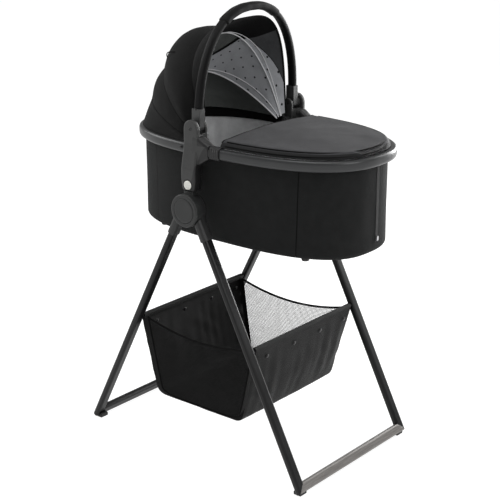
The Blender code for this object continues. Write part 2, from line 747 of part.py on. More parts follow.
def basket_net():
    """A see-through side: strands in a grid that follows the basket's end view, sagging at the top."""
    head_x, top_z = rod_place(-1)
    foot_x = rod_place(1)[0]
    margin = BASKET_CLOTH + ROD_RADIUS + 0.004
    bottom_z = BASKET_FLOOR_Z + 0.5 * NET_STRAND + 2 * GAP
    bm = bmesh.new()
    bmesh.ops.create_grid(bm, x_segments=NET_CELLS_ALONG, y_segments=NET_CELLS_DOWN, size=0.5)
    for vert in bm.verts:
        along = vert.co.x + 0.5
        up = vert.co.y + 0.5
        low_x = BASKET_FLOOR_HEAD_X + (BASKET_FLOOR_FOOT_X - BASKET_FLOOR_HEAD_X) * along
        high_x = head_x + margin + (foot_x - head_x - 2 * margin) * along
        inset = 0.012 * (1 - 2 * along) * (1 - up)
        x = low_x + (high_x - low_x) * up + inset
        sag = NET_SAG * 4 * along * (1 - along)
        z = bottom_z + (top_z - ROD_RADIUS - sag - bottom_z) * up
        round_corner = BASKET_CORNER * 0.45 * (2 * abs(along - 0.5)) ** 8 * (1 - up) ** 4
        width = BASKET_HALF_WIDTH - 0.004 + 0.010 * up
        vert.co = Vector((x, -width, z + round_corner))
    net = add_object("basket_net_near", mesh_from(bm, "basket_net_near"), NET_CLOTH, ORIGIN)
    wire = net.modifiers.new("strands", "WIREFRAME")
    wire.thickness = NET_STRAND
    wire.use_even_offset = True
    wire.use_boundary = True
    wire.use_replace = True
    apply_modifiers(net)
    far_copy(net, "basket_net_far")


# Rim and tub


def rim_arc(end_x, towards_foot, steps):
    """Points of the rim's centre line on one side of end_x."""
    reach = abs(end_x - RIM_CENTRE_X) / RIM_HALF_LENGTH
    start = math.acos(math.copysign(reach ** (RIM_POWER / 2), end_x - RIM_CENTRE_X))
    points = []
    for k in range(steps + 1):
        share = k / steps
        if towards_foot:
            angle = -start + 2 * start * share
        else:
            angle = start + 2 * (math.pi - start) * share
        x, y = superellipse_point(angle, RIM_HALF_LENGTH, RIM_HALF_WIDTH, RIM_POWER)
        points.append((x + RIM_CENTRE_X, y, RIM_Z))
    return points


RIM_STEPS = 36


def rim_tube(name, end_x, towards_foot, steps=RIM_STEPS):
    section = rounded_rectangle(RIM_TUBE_DEPTH, RIM_TUBE_HEIGHT, RIM_TUBE_CORNER)
    path = rim_arc(end_x, towards_foot, steps)
    return loft(name, sweep_rings(path, section, Vector((0, 0, 1))), RIM_PAINT)


def tub_ring(z, inset=0.0, count=40):
    """The tub's outline at a height, drawn in by inset."""
    share = (z - TUB_BOTTOM_Z) / (TUB_TOP_Z - TUB_BOTTOM_Z)
    length = TUB_BOTTOM_HALF_LENGTH + (TUB_TOP_HALF_LENGTH - TUB_BOTTOM_HALF_LENGTH) * share
    width = TUB_BOTTOM_HALF_WIDTH + (TUB_TOP_HALF_WIDTH - TUB_BOTTOM_HALF_WIDTH) * share
    power = TUB_BOTTOM_POWER + (RIM_POWER - TUB_BOTTOM_POWER) * share
    points = superellipse(length - inset, width - inset, power, RIM_CENTRE_X, count)
    return [(x, y, z) for x, y in points]


def fuller_head(ring):
    """The same outline below the rim, where the cover stands out further at the head end."""
    stretched = []
    for x, y, z in ring:
        along = x - RIM_CENTRE_X
        stretched.append((x + min(along, 0.0) * TUB_HEAD_SHARE, y, z))
    return stretched


def wall_heights():
    """Heights of the rings between the tub's rounded edge and its top."""
    return [TUB_BOTTOM_Z + (TUB_TOP_Z - TUB_BOTTOM_Z) * share for share in WALL_SHARES]


def tub_wall():
    """Padded side wall and floor as one open-topped shell with a rounded lower edge."""
    low, middle, high = wall_heights()
    under_rim = RIM_Z - RIM_TUBE_HEIGHT / 2 - GAP
    rings = [tub_ring(TUB_TOP_Z), tub_ring(under_rim)]
    for z in (under_rim - 0.001, high, middle, low, TUB_BOTTOM_Z + TUB_EDGE):
        rings.append(fuller_head(tub_ring(z)))
    for degrees in (30, 60, 90):
        angle = math.radians(degrees)
        z = TUB_BOTTOM_Z + TUB_EDGE * (1 - math.sin(angle))
        inset = TUB_EDGE * (1 - math.cos(angle))
        rings.append([(x, y, z) for x, y, _ in fuller_head(tub_ring(TUB_BOTTOM_Z, inset))])
    last_outside = len(rings) - 1
    rings.append([(x, y, FLOOR_TOP_Z) for x, y, _ in tub_ring(TUB_BOTTOM_Z, TUB_EDGE)])
    for z in (TUB_BOTTOM_Z + TUB_EDGE, LINING_FOOT_Z, middle, TUB_TOP_Z):
        rings.append(tub_ring(z, TUB_WALL))
    bm = bmesh.new()
    rows = [[bm.verts.new(point) for point in ring] for ring in rings]
    for here, row in enumerate(rows):
        if here == last_outside:
            continue
        after_row = rows[(here + 1) % len(rows)]
        for k in range(len(row)):
            after = (k + 1) % len(row)
            bm.faces.new((row[k], row[after], after_row[after], after_row[k]))
    bm.faces.new(rows[last_outside])
    bm.faces.new(rows[last_outside + 1])
    add_object("tub_wall", mesh_from(bm, "tub_wall"), TUB_CLOTH, ORIGIN)


def tub_lining():
    """Thin inner lining that hangs from the rim to the board."""
    outset = TUB_WALL + 3 * GAP
    heights = (TUB_TOP_Z, wall_heights()[1], LINING_FOOT_Z)
    outer = [tub_ring(z, outset) for z in heights]
    inner = [tub_ring(z, outset + LINING_THICKNESS) for z in reversed(heights)]
    loft("tub_lining", outer + inner, LINING_CLOTH, closed_path=True)


def base_board():
    inset = TUB_EDGE + 0.001
    low = FLOOR_TOP_Z + GAP
    outline = [(x, y) for x, y, _ in tub_ring(TUB_BOTTOM_Z, inset)]
    prism("base_board", outline, low, low + BOARD_THICKNESS, "Z", BOARD)


def mattress():
    """Crowned pad whose sides draw in at the top and bottom."""
    base = MATTRESS_BOTTOM_Z
    inset = TUB_EDGE + 0.004
    rows = (
        (inset + 0.010, base),
        (inset, base + 0.25 * MATTRESS_THICKNESS),
        (inset, base + 0.65 * MATTRESS_THICKNESS),
        (inset + 0.012, base + MATTRESS_THICKNESS),
        (inset + 0.060, base + MATTRESS_THICKNESS + 0.75 * MATTRESS_CROWN),
        (inset + 0.130, base + MATTRESS_THICKNESS + MATTRESS_CROWN),
    )
    rings = []
    for draw_in, z in rows:
        rings.append([(x, y, z) for x, y, _ in tub_ring(TUB_BOTTOM_Z, draw_in, 40)])
    loft("mattress", rings, MATTRESS_CLOTH)


def base_feet():
    """Four small feet that the tub stands on when it is off the stand."""
    for end, sign in (("head", -1), ("foot", 1)):
        x = RIM_CENTRE_X + sign * BASE_FOOT_X
        low = TUB_BOTTOM_Z - BASE_FOOT_HEIGHT - GAP
        bm = bmesh.new()
        bmesh.ops.create_cone(
            bm,
            cap_ends=True,
            segments=20,
            radius1=0.8 * BASE_FOOT_RADIUS,
            radius2=BASE_FOOT_RADIUS,
            depth=BASE_FOOT_HEIGHT,
        )
        move = Matrix.Translation((x, -BASE_FOOT_Y, low + BASE_FOOT_HEIGHT / 2))
        bmesh.ops.transform(bm, matrix=move, verts=bm.verts)
        name = "base_foot_" + end + "_near"
        foot = add_object(name, mesh_from(bm, name), BLACK_PLASTIC, ORIGIN)
        far_copy(foot, "base_foot_" + end + "_far")


def apron():
    """Padded cover over the foot half, resting on the rim and crowned in the middle."""
    count = 41
    rim_edge = RIM_TOP_Z + GAP
    start = (APRON_START_X - RIM_CENTRE_X) / RIM_HALF_LENGTH
    limit = math.acos(start ** (RIM_POWER / 2))

    def ring(inset, z, front_shift):
        points = []
        for k in range(count):
            angle = -limit + 2 * limit * k / (count - 1)
            x, y = superellipse_point(
                angle, RIM_HALF_LENGTH - inset, RIM_HALF_WIDTH - inset, RIM_POWER
            )
            points.append((max(x + RIM_CENTRE_X, APRON_START_X + front_shift), y, z))
        return points

    top = rim_edge + APRON_EDGE_HEIGHT
    rows = (
        (APRON_INSET, rim_edge, 0.0),
        (0.002, rim_edge + 0.4 * APRON_EDGE_HEIGHT, 0.0),
        (APRON_INSET, top, 0.002),
        (0.030, top + 0.45 * APRON_CROWN, 0.006),
        (0.090, top + 0.85 * APRON_CROWN, 0.020),
        (0.150, top + APRON_CROWN, 0.060),
    )
    loft("apron", [ring(*row) for row in rows], APRON_CLOTH)


# Side arms


def arm_face_y(z):
    """The outer face leans in from the foot of the arm to its head."""
    share = min(max((z - ARM_LEAN_START_Z) / ARM_LEAN_RUN, 0.0), 1.0)
    smooth = share * share * (3 - 2 * share)
    return ARM_FOOT_Y + (ARM_HEAD_Y - ARM_FOOT_Y) * smooth


def arm_ring(z, half_width, edge=0.0):
    """Level outline of the arm's outer plate, drawn in by edge at its outer face."""
    depth = arm_face_y(z) - edge - ARM_BACK_Y
    outline = rounded_rectangle(2 * half_width, depth, min(0.004, 0.35 * depth, 0.6 * half_width))
    return [(x, y - ARM_BACK_Y - depth / 2, z) for x, y in outline]


def rim_socket(end_x, towards_foot, reach_x):
    """The space for a rim tube's end, run along the same path as the tube itself."""
    path = rim_arc(end_x, towards_foot, RIM_STEPS)
    if not towards_foot:
        path.reverse()
    start = Vector(path[0])
    run = [start + (start - Vector(path[1])).normalized() * GAP]
    for spot in path[1:]:
        run.append(Vector(spot))
        if abs(spot[0]) > reach_x:
            break
    section = rounded_rectangle(
        RIM_TUBE_DEPTH + 2 * GAP, RIM_TUBE_HEIGHT + 2 * GAP, RIM_TUBE_CORNER + GAP
    )
    return loft("rim_socket", sweep_rings(run, section, Vector((0, 0, 1))), None)


def tub_room():
    """The space along the tub's side wall that arm and collar keep out of."""
    side = -TUB_TOP_HALF_WIDTH - GAP
    return box("tub_room", (-0.08, side, TUB_TOP_Z - TUB_DEPTH / 2), (0.12, side + 0.04, TUB_TOP_Z + 2 * GAP))


def side_arm():
    """Bracket that joins rim, handle and canopy, and drops over the stand's post."""
    wide = ARM_HALF_WIDTH
    rows = [
        (ARM_BOTTOM_Z, 0.0180, 0.003),
        (ARM_BOTTOM_Z + 0.003, 0.0200, 0.0),
        (ARM_BOTTOM_Z + 0.014, 0.0232, 0.0),
        (ARM_BOTTOM_Z + 0.032, wide, 0.0),
    ]
    for share in (0.0, 0.11, 0.28, 0.50, 0.72, 0.94):
        rows.append((ARM_LEAN_START_Z + ARM_LEAN_RUN * share, wide, 0.0))
    rows.append((HANDLE_PIVOT_Z, wide, 0.0))
    for degrees in (25, 45, 62, 76):
        angle = math.radians(degrees)
        z = HANDLE_PIVOT_Z + wide * math.sin(angle)
        rows.append((z, wide * math.cos(angle), 0.002 * math.sin(angle) ** 4))
    arm = loft("side_arm_near", [arm_ring(*row) for row in rows], HUB_PLASTIC)

    body_half = wide - 0.005
    inside = -ARM_INNER_Y
    body = box(
        "arm_body", (-body_half, -ARM_BACK_Y - 0.006, ARM_BODY_Z), (body_half, inside, BRIDGE_TOP_Z)
    )
    round_edges(body, 0.003, 1)
    foot_body = box(
        "foot_body", (-0.0172, -ARM_BACK_Y - 0.006, ARM_BOTTOM_Z), (0.0172, inside, ARM_BODY_Z + 0.007)
    )
    round_edges(foot_body, 0.002, 1)
    spacer = drum(
        "spacer",
        0.0155,
        -ARM_BACK_Y - 0.004,
        -(HANDLE_HALF_WIDTH + HANDLE_TUBE_DEPTH / 2 + HANDLE_END_WALL + 2 * GAP),
        (0, HANDLE_PIVOT_Z),
        sides=20,
    )
    bridge = box(
        "bridge",
        (-EAR_HALF_WIDTH, inside - 0.006, RIM_TOP_Z + 0.001),
        (EAR_HALF_WIDTH, -EAR_INNER_Y - 0.001, BRIDGE_TOP_Z),
    )
    ear_outline = [(EAR_HALF_WIDTH, EAR_BOTTOM_Z)]
    for step in range(9):
        angle = math.radians(180 * step / 8)
        x = EAR_HALF_WIDTH * math.cos(angle)
        ear_outline.append((x, HANDLE_PIVOT_Z + EAR_HALF_WIDTH * math.sin(angle)))
    ear_outline.append((-EAR_HALF_WIDTH, EAR_BOTTOM_Z))
    ear = prism("ear", ear_outline, -EAR_OUTER_Y + GAP, -EAR_INNER_Y, "Y")
    round_edges(ear, 0.001, 1, 50)

    flare_rows = ((0.010, 0.016, 0.056), (0.030, 0.012, 0.050), (FLARE_END_X, 0.009, 0.0095))
    sections = []
    for x, extra_deep, extra_high in flare_rows:
        sections.append(
            rounded_rectangle(
                RIM_TUBE_DEPTH + extra_deep, RIM_TUBE_HEIGHT + extra_high, RIM_TUBE_CORNER
            )
        )
    offsets = (0.004, 0.003, 0.0)
    flare_rings = []
    for (x, _, _), section, outset in zip(flare_rows, sections, offsets):
        y = -RIM_HALF_WIDTH - outset
        flare_rings.append([(x, y + a, RIM_Z + b) for a, b in section])
    flare = loft("flare", flare_rings, HUB_PLASTIC)
    join(arm, body, foot_body, spacer, bridge, ear, flare)

    cut(arm, rim_socket(RIM_HEAD_END_X, False, 0.06))
    cut(arm, rim_socket(RIM_FOOT_END_X, True, FLARE_END_X + 0.004))
    post_room = box(
        "post_room",
        (-POST_WIDTH / 2 - GAP, -POST_Y - POST_DEPTH / 2 - GAP, ARM_BOTTOM_Z - 0.01),
        (POST_WIDTH / 2 + GAP, -POST_Y + POST_DEPTH / 2 + GAP, POST_TOP_Z + 0.002),
    )
    cut(arm, post_room)
    outside = -ARM_FOOT_Y - 0.01
    pivot = (0, HANDLE_PIVOT_Z)
    cut(arm, drum("screw_hole", HANDLE_SCREW_RADIUS + PIN_PLAY, outside, -0.15, pivot, sides=20))
    seat_y = -ARM_HEAD_Y + SCREW_HEAD_DEPTH
    cut(arm, drum("screw_seat", SCREW_HEAD_RADIUS + GAP, outside, seat_y, pivot, sides=24))
    axle = (0, CANOPY_PIVOT_Z)
    hole = drum(
        "canopy_pin_hole", CANOPY_PIN_RADIUS + PIN_PLAY, -EAR_OUTER_Y - 0.004, -0.15, axle, sides=20
    )
    cut(arm, hole)
    bore_end = -(POST_Y + POST_DEPTH / 2 + GAP)
    cut(arm, drum("bore", BUTTON_RADIUS + GAP, outside, bore_end, (0, BUTTON_Z), sides=24))
    cut(arm, tub_room())
    far_copy(arm, "side_arm_far")


def arm_fittings():
    """Pivot screw, ribbed collar, release button and canopy pin."""
    proud = 0.0010
    face = ARM_HEAD_Y + proud
    tip = EAR_INNER_Y + GAP
    under_head = SCREW_HEAD_DEPTH - GAP + proud
    profile = [
        (0.0, 0.0008),
        (0.0030, 0.0),
        (SCREW_HEAD_RADIUS - 0.0006, 0.0),
        (SCREW_HEAD_RADIUS, 0.0005),
        (SCREW_HEAD_RADIUS, under_head),
        (HANDLE_SCREW_RADIUS, under_head),
        (HANDLE_SCREW_RADIUS, face - tip),
        (0.0, face - tip),
    ]
    screw = turned(
        "handle_screw_near", profile, face, ORIGIN, STEEL, centre=(0, HANDLE_PIVOT_Z), steps=16
    )
    far_copy(screw, "handle_screw_far")

    clear = 2 * GAP
    inner = rounded_rectangle(
        RIM_TUBE_DEPTH + 2 * clear, RIM_TUBE_HEIGHT + 2 * clear, RIM_TUBE_CORNER + clear
    )
    total = 2 * COLLAR_RIBS + 1
    spots = []
    swells = []
    for k in range(total):
        x = FLARE_END_X + GAP + COLLAR_LENGTH * k / (total - 1)
        away = abs(x - RIM_CENTRE_X) / RIM_HALF_LENGTH
        y = RIM_HALF_WIDTH * (1 - away**RIM_POWER) ** (1 / RIM_POWER)
        spots.append((x, -y, RIM_Z))
        swells.append(0.0045 if k % 2 else 0.0030)
    inner_rings = sweep_rings(spots, inner, Vector((0, 0, 1)))
    outer_rings = []
    for k, swell in enumerate(swells):
        grow = 2 * (clear + swell)
        ring = rounded_rectangle(
            RIM_TUBE_DEPTH + grow, RIM_TUBE_HEIGHT + grow, RIM_TUBE_CORNER + grow / 2
        )
        outer_rings.append(sweep_rings(spots, ring, Vector((0, 0, 1)))[k])
    collar = loft(
        "rim_collar_near",
        outer_rings + list(reversed(inner_rings)),
        BLACK_PLASTIC,
        closed_path=True,
    )
    cut(collar, tub_room())
    far_copy(collar, "rim_collar_far")

    face = ARM_FOOT_Y + BUTTON_PROUD
    depth = face - (POST_Y + POST_DEPTH / 2 + GAP) - BUTTON_TRAVEL - GAP
    profile = [
        (0.0, 0.0),
        (BUTTON_RADIUS - 0.0022, 0.0002),
        (BUTTON_RADIUS - 0.0006, 0.0010),
        (BUTTON_RADIUS, 0.0024),
        (BUTTON_RADIUS, depth),
        (0.0, depth),
    ]
    button = turned(
        "release_button_near",
        profile,
        face,
        ORIGIN,
        WHITE_PLASTIC,
        centre=(0, BUTTON_Z),
        steps=24,
    )
    far_copy(button, "release_button_far")

    end_y = EAR_INNER_Y - 3 * (CANOPY_EYE_DEPTH + GAP) - 0.0022
    start_y = EAR_OUTER_Y - GAP
    profile = [
        (0.0, 0.0),
        (CANOPY_PIN_RADIUS, 0.0),
        (CANOPY_PIN_RADIUS, start_y - end_y - 0.0018),
        (CANOPY_PIN_RADIUS + 0.0025, start_y - end_y - 0.0018),
        (CANOPY_PIN_RADIUS + 0.0015, start_y - end_y),
        (0.0, start_y - end_y),
    ]
    pin = turned(
        "canopy_pin_near",
        profile,
        start_y,
        ORIGIN,
        STEEL,
        centre=(0, CANOPY_PIVOT_Z),
        steps=14,
    )
    far_copy(pin, "canopy_pin_far")


# Carry handle


def handle_path(steps=28, limit=None):
    """Centre line of the arch in the handle's own frame, from near foot to far foot."""
    points = []
    for k in range(steps + 1):
        angle = math.pi * k / steps
        share = 2.0 / HANDLE_POWER
        rise = abs(math.sin(angle)) ** share
        across = -math.copysign(abs(math.cos(angle)) ** share, math.cos(angle))
        x = HANDLE_LEAN * rise
        z = HANDLE_BASE_Z - HANDLE_PIVOT_Z + HANDLE_HEIGHT * rise
        point = (x, across * HANDLE_HALF_WIDTH, z)
        if limit is None or abs(point[1]) <= limit:
            points.append(point)
    return points


def handle():
    level = Vector((1, 0, 0))
    section = rounded_rectangle(HANDLE_TUBE_DEPTH, HANDLE_TUBE_WIDTH, HANDLE_TUBE_CORNER)
    path = handle_path()
    foot = 0.014
    straight = HANDLE_END_LENGTH + 0.002
    for first, second, side in ((0, 1, -1), (-1, -2, 1)):
        path[first] = (0, side * HANDLE_HALF_WIDTH, foot)
        path[second] = (0, side * HANDLE_HALF_WIDTH, straight)
    loft("handle_tube", sweep_rings(path, section, level), RIM_PAINT, HANDLE_AXIS)

    sleeve_path = handle_path(44, GRIP_HALF_WIDTH)
    grow = 2 * (GRIP_THICKNESS + GAP)
    outer = rounded_rectangle(
        HANDLE_TUBE_DEPTH + grow, HANDLE_TUBE_WIDTH + grow, HANDLE_TUBE_CORNER + grow / 2
    )
    inner = rounded_rectangle(
        HANDLE_TUBE_DEPTH + 2 * GAP + 0.0006,
        HANDLE_TUBE_WIDTH + 2 * GAP + 0.0006,
        HANDLE_TUBE_CORNER + GAP,
    )
    outer_rings = sweep_rings(sleeve_path, outer, level)
    inner_rings = sweep_rings(sleeve_path, inner, level)
    loft(
        "handle_grip",
        outer_rings + list(reversed(inner_rings)),
        GRIP_FOAM,
        HANDLE_AXIS,
        closed_path=True,
    )

    half_depth = HANDLE_TUBE_DEPTH / 2 + HANDLE_END_WALL
    outline = []
    for step in range(9):
        angle = math.radians(180 + 180 * step / 8)
        outline.append(
            (HANDLE_END_HALF_WIDTH * math.cos(angle), HANDLE_END_HALF_WIDTH * math.sin(angle))
        )
    outline += [
        (HANDLE_END_HALF_WIDTH, HANDLE_END_LENGTH),
        (-HANDLE_END_HALF_WIDTH, HANDLE_END_LENGTH),
    ]
    low = -HANDLE_HALF_WIDTH - half_depth
    end = prism("handle_end_near", outline, low, low + 2 * half_depth, "Y", HUB_PLASTIC, HANDLE_AXIS)
    space = []
    for a, b in rounded_rectangle(
        HANDLE_TUBE_WIDTH + 2 * GAP, HANDLE_TUBE_DEPTH + 2 * GAP, HANDLE_TUBE_CORNER
    ):
        space.append((a, b - HANDLE_HALF_WIDTH))
    socket = prism("socket", space, foot - GAP, HANDLE_END_LENGTH + 0.01, "Z", None, HANDLE_AXIS)
    cut(end, socket)
    hole_radius = HANDLE_SCREW_RADIUS + PIN_PLAY
    cut(end, drum("hole", hole_radius, low - 0.01, low + 0.04, (0, 0), HANDLE_AXIS, sides=20))
    far_copy(end, "handle_end_far")


# Canopy


def beside_handle(x):
    """Share of the width that is drawn in where the canopy passes between the handle's legs."""
    return CANOPY_SQUEEZE_SHARE / (1 + math.exp(-(x - CANOPY_SQUEEZE_X) / CANOPY_SQUEEZE_RUN))


def canopy_point(t, angle, length, half_width, grow=0.0):
    """A point in the canopy's own frame; t runs 0 to 1 from the near pivot to the far one."""
    turn = math.pi * t
    share = 2.0 / CANOPY_POWER
    reach = (length + grow) * abs(math.sin(turn)) ** share
    across = -math.copysign(abs(math.cos(turn)) ** share, math.cos(turn))
    x = -reach * math.cos(angle)
    z = reach * math.sin(angle)
    width = (half_width + grow) * (1 - beside_handle(x))
    return (x, across * width, z)


def eye_centre(level):
    """Y of a hinge eye; the hoops' eyes are stacked inwards from the arm's ear."""
    return EAR_INNER_Y - (level + 0.5) * CANOPY_EYE_DEPTH - (level + 1) * GAP


def hoop_half_width(level):
    """Half width before the drawing-in that lands the hoop's end on its own eye."""
    return eye_centre(level) / (1 - beside_handle(0.0))


def canopy_hoop(name, angle, length, level):
    half_width = hoop_half_width(level)
    points = []
    for k in range(HOOP_STEPS + 1):
        points.append(canopy_point(k / HOOP_STEPS, angle, length, half_width))
    beside = EAR_HALF_WIDTH + 0.005
    for place, side in ((1, -1), (-1, 1)):
        spot = (-beside * math.cos(angle), side * eye_centre(level), beside * math.sin(angle))
        points.insert(place, spot)
    hoop = tube_curve(name, points, HOOP_RADIUS, BLACK_PLASTIC, CANOPY_AXIS, 1)
    for side in (-1, 1):
        low = side * eye_centre(level) - CANOPY_EYE_DEPTH / 2
        high = low + CANOPY_EYE_DEPTH
        join(hoop, drum("eye", CANOPY_EYE_RADIUS, low, high, (0, 0), CANOPY_AXIS, sides=24))
        bore = CANOPY_PIN_RADIUS + PIN_PLAY
        cut(hoop, drum("hole", bore, low - 0.01, high + 0.01, (0, 0), CANOPY_AXIS, sides=20))
    return hoop


def canopy_panel(name, start, end, bulge, rows=4):
    """Cloth between two hoops, bulged between them, as a closed shell just outside them."""
    clear = HOOP_RADIUS + CLOTH_CLEARANCE
    surfaces = []
    for grow in (clear, clear + CANOPY_CLOTH):
        surface = []
        for row in range(rows + 1):
            share = row / rows
            angle = start[0] + (end[0] - start[0]) * share
            swell = bulge * math.sin(math.pi * share)
            length = start[1] + (end[1] - start[1]) * share + swell
            width = start[2] + (end[2] - start[2]) * share + 0.25 * swell
            line = []
            for step in range(CLOTH_FIRST_STEP, HOOP_STEPS - CLOTH_FIRST_STEP + 1):
                t = step / HOOP_STEPS
                line.append(canopy_point(t, angle, length, width, grow))
            surface.append(line)
        surfaces.append(surface)
    inner, outer = surfaces
    rings = [outer[k] + list(reversed(inner[k])) for k in range(rows + 1)]
    return loft(name, rings, CANOPY_CLOTH_BLACK, CANOPY_AXIS)


def canopy_skirt(angle, length, half_width, rows=4):
    """Back of the canopy, from the top of the rim up to the rear hoop."""
    reach = RIM_HALF_LENGTH - RIM_CENTRE_X
    foot_z = RIM_TOP_Z + GAP - CANOPY_PIVOT_Z
    clear = HOOP_RADIUS + CLOTH_CLEARANCE
    surfaces = []
    for grow in (0.0, CANOPY_CLOTH):
        surface = []
        for row in range(rows + 1):
            share = row / rows
            line = []
            for step in range(CLOTH_FIRST_STEP, HOOP_STEPS - CLOTH_FIRST_STEP + 1):
                t = step / HOOP_STEPS
                turn = math.pi * t
                along = (reach + grow - CANOPY_CLOTH / 2) * math.sin(turn) ** (2.0 / CANOPY_POWER)
                away = (along + RIM_CENTRE_X) / (RIM_HALF_LENGTH + grow)
                side = (1 - min(away, 1.0) ** RIM_POWER) ** (1 / RIM_POWER)
                across = (RIM_HALF_WIDTH + grow - CANOPY_CLOTH / 2) * side
                low = Vector((-along, -math.copysign(across, math.cos(turn)), foot_z))
                high = Vector(canopy_point(t, angle, length, half_width, clear + grow))
                spot = low.lerp(high, share)
                puff = 0.002 * math.sin(math.pi * share)
                spot.x -= puff * math.sin(turn)
                spot.y -= puff * math.cos(turn)
                line.append(spot)
            surface.append(line)
        surfaces.append(surface)
    inner, outer = surfaces
    rings = [outer[k] + list(reversed(inner[k])) for k in range(rows + 1)]
    return loft("canopy_skirt", rings, CANOPY_CLOTH_BLACK, CANOPY_AXIS)


def canopy():
    rear = (REAR_HOOP_ANGLE, REAR_HOOP_LENGTH)
    mid = (MID_HOOP_ANGLE, MID_HOOP_LENGTH)
    front = (FRONT_HOOP_ANGLE, FRONT_HOOP_LENGTH)
    canopy_hoop("canopy_rear_hoop", *rear, 0)
    canopy_hoop("canopy_mid_hoop", *mid, 1)
    canopy_hoop("canopy_front_hoop", *front, 2)

    seam = CANOPY_SEAM_GAP
    wide, middling, narrow = (hoop_half_width(level) for level in range(3))
    canopy_skirt(REAR_HOOP_ANGLE - seam, REAR_HOOP_LENGTH, wide)
    canopy_panel(
        "canopy_rear_panel",
        (REAR_HOOP_ANGLE + seam, REAR_HOOP_LENGTH, wide),
        (MID_HOOP_ANGLE - seam, MID_HOOP_LENGTH, middling),
        REAR_PUFF,
    )
    canopy_panel(
        "canopy_front_panel",
        (MID_HOOP_ANGLE + seam, MID_HOOP_LENGTH, middling),
        (FRONT_HOOP_ANGLE - seam, FRONT_HOOP_LENGTH, narrow),
        FRONT_PUFF,
    )
    canopy_panel(
        "canopy_visor",
        (FRONT_HOOP_ANGLE + seam, FRONT_HOOP_LENGTH, narrow),
        (VISOR_ANGLE, VISOR_LENGTH, narrow - VISOR_DRAW_IN),
        0.004,
    )


# Zip


def foot_wall_x(z):
    """X of the flat facet in the middle of the tub's foot end."""
    return tub_ring(z)[0][0]


def zip_parts():
    """Zip tape down the foot end, and the pull on its slider at the bottom."""
    rings = []
    for z in (ZIP_BOTTOM_Z, *wall_heights(), ZIP_TOP_Z):
        x = foot_wall_x(z) + GAP
        outer = x + ZIP_DEPTH
        y_low, y_high = ZIP_Y - ZIP_WIDTH / 2, ZIP_Y + ZIP_WIDTH / 2
        rings.append([(x, y_low, z), (outer, y_low, z), (outer, y_high, z), (x, y_high, z)])
    loft("zip_tape", rings, BLACK_PLASTIC)
    rings = []
    for z, half in (
        (ZIP_BOTTOM_Z + 0.004, 0.002),
        (ZIP_BOTTOM_Z + 0.006, 0.004),
        (ZIP_BOTTOM_Z + 0.016, 0.004),
        (ZIP_BOTTOM_Z + 0.018, 0.0025),
    ):
        x = foot_wall_x(z) + ZIP_DEPTH + 2 * GAP
        rings.append([(x, ZIP_Y - half, z), (x + 0.004, ZIP_Y - half, z)])
        rings[-1] += [(x + 0.004, ZIP_Y + half, z), (x, ZIP_Y + half, z)]
    loft("zip_pull", rings, STEEL)


def make_stand():
    stand_frame("head", -1, HEAD_AXIS)
    stand_frame("foot", 1, FOOT_AXIS)
    floor_pad("head", -1, HEAD_AXIS)
    floor_pad("foot", 1, FOOT_AXIS)
    hub_outer()
    hub_inner()
    hub_fittings()
    basket_rod("basket_rod_head", -1, HEAD_AXIS)
    basket_rod("basket_rod_foot", 1, FOOT_AXIS)
    basket_cloth()
    basket_net()


def make_bassinet():
    rim_tube("rim_tube_head", RIM_HEAD_END_X, False)
    rim_tube("rim_tube_foot", RIM_FOOT_END_X, True)
    tub_wall()
    tub_lining()
    base_board()
    mattress()
    base_feet()
    apron()
    side_arm()
    arm_fittings()
    zip_parts()


make_stand()
make_bassinet()
handle()
canopy()
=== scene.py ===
import math

import bpy
from mathutils import Matrix, Vector, noise


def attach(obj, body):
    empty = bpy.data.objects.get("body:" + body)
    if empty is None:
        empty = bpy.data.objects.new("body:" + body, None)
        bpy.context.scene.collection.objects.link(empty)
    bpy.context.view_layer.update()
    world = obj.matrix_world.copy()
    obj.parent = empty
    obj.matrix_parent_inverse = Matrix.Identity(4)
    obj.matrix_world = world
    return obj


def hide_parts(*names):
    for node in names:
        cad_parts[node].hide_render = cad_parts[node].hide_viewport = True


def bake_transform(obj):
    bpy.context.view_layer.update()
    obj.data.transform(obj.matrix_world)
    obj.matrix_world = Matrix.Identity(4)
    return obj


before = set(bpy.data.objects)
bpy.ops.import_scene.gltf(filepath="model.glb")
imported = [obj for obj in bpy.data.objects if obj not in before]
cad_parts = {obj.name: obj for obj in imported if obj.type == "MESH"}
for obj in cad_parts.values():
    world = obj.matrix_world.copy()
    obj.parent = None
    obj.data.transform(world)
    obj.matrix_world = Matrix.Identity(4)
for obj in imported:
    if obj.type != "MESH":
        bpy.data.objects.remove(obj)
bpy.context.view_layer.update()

# The camera stands at the foot end, on the near side, a little above the rim. The rim, the
# two upright arms and the four legs set its place. Every X below is given from the middle of
# the leg hinges, which lies this far from the middle of the whole bassinet.
middle = -0.0305163
aside, above, away = math.radians(39.537), math.radians(18.378), 4.035
back = Vector(
    (math.sin(aside) * math.cos(above), -math.cos(aside) * math.cos(above), math.sin(above))
)
right = Vector((math.cos(aside), math.sin(aside), 0))
bpy.ops.object.camera_add(location=Vector((0.011 + middle, 0, 0.605)) + back * away)
camera = bpy.context.object
camera.rotation_euler = Matrix((right, back.cross(right), back)).transposed().to_euler()
camera.data.lens = 94.26
camera.data.shift_x = 0.000438
camera.data.shift_y = -0.005822
bpy.context.scene.camera = camera


# Legs, floor bars and cross rods: drawn steel tube, welted at the floor bars and powder coated
# black. The coat has a very fine orange peel, is satin on the faces and dulls towards the floor.
def shader_of(made):
    return made.node_tree.nodes["Principled BSDF"]


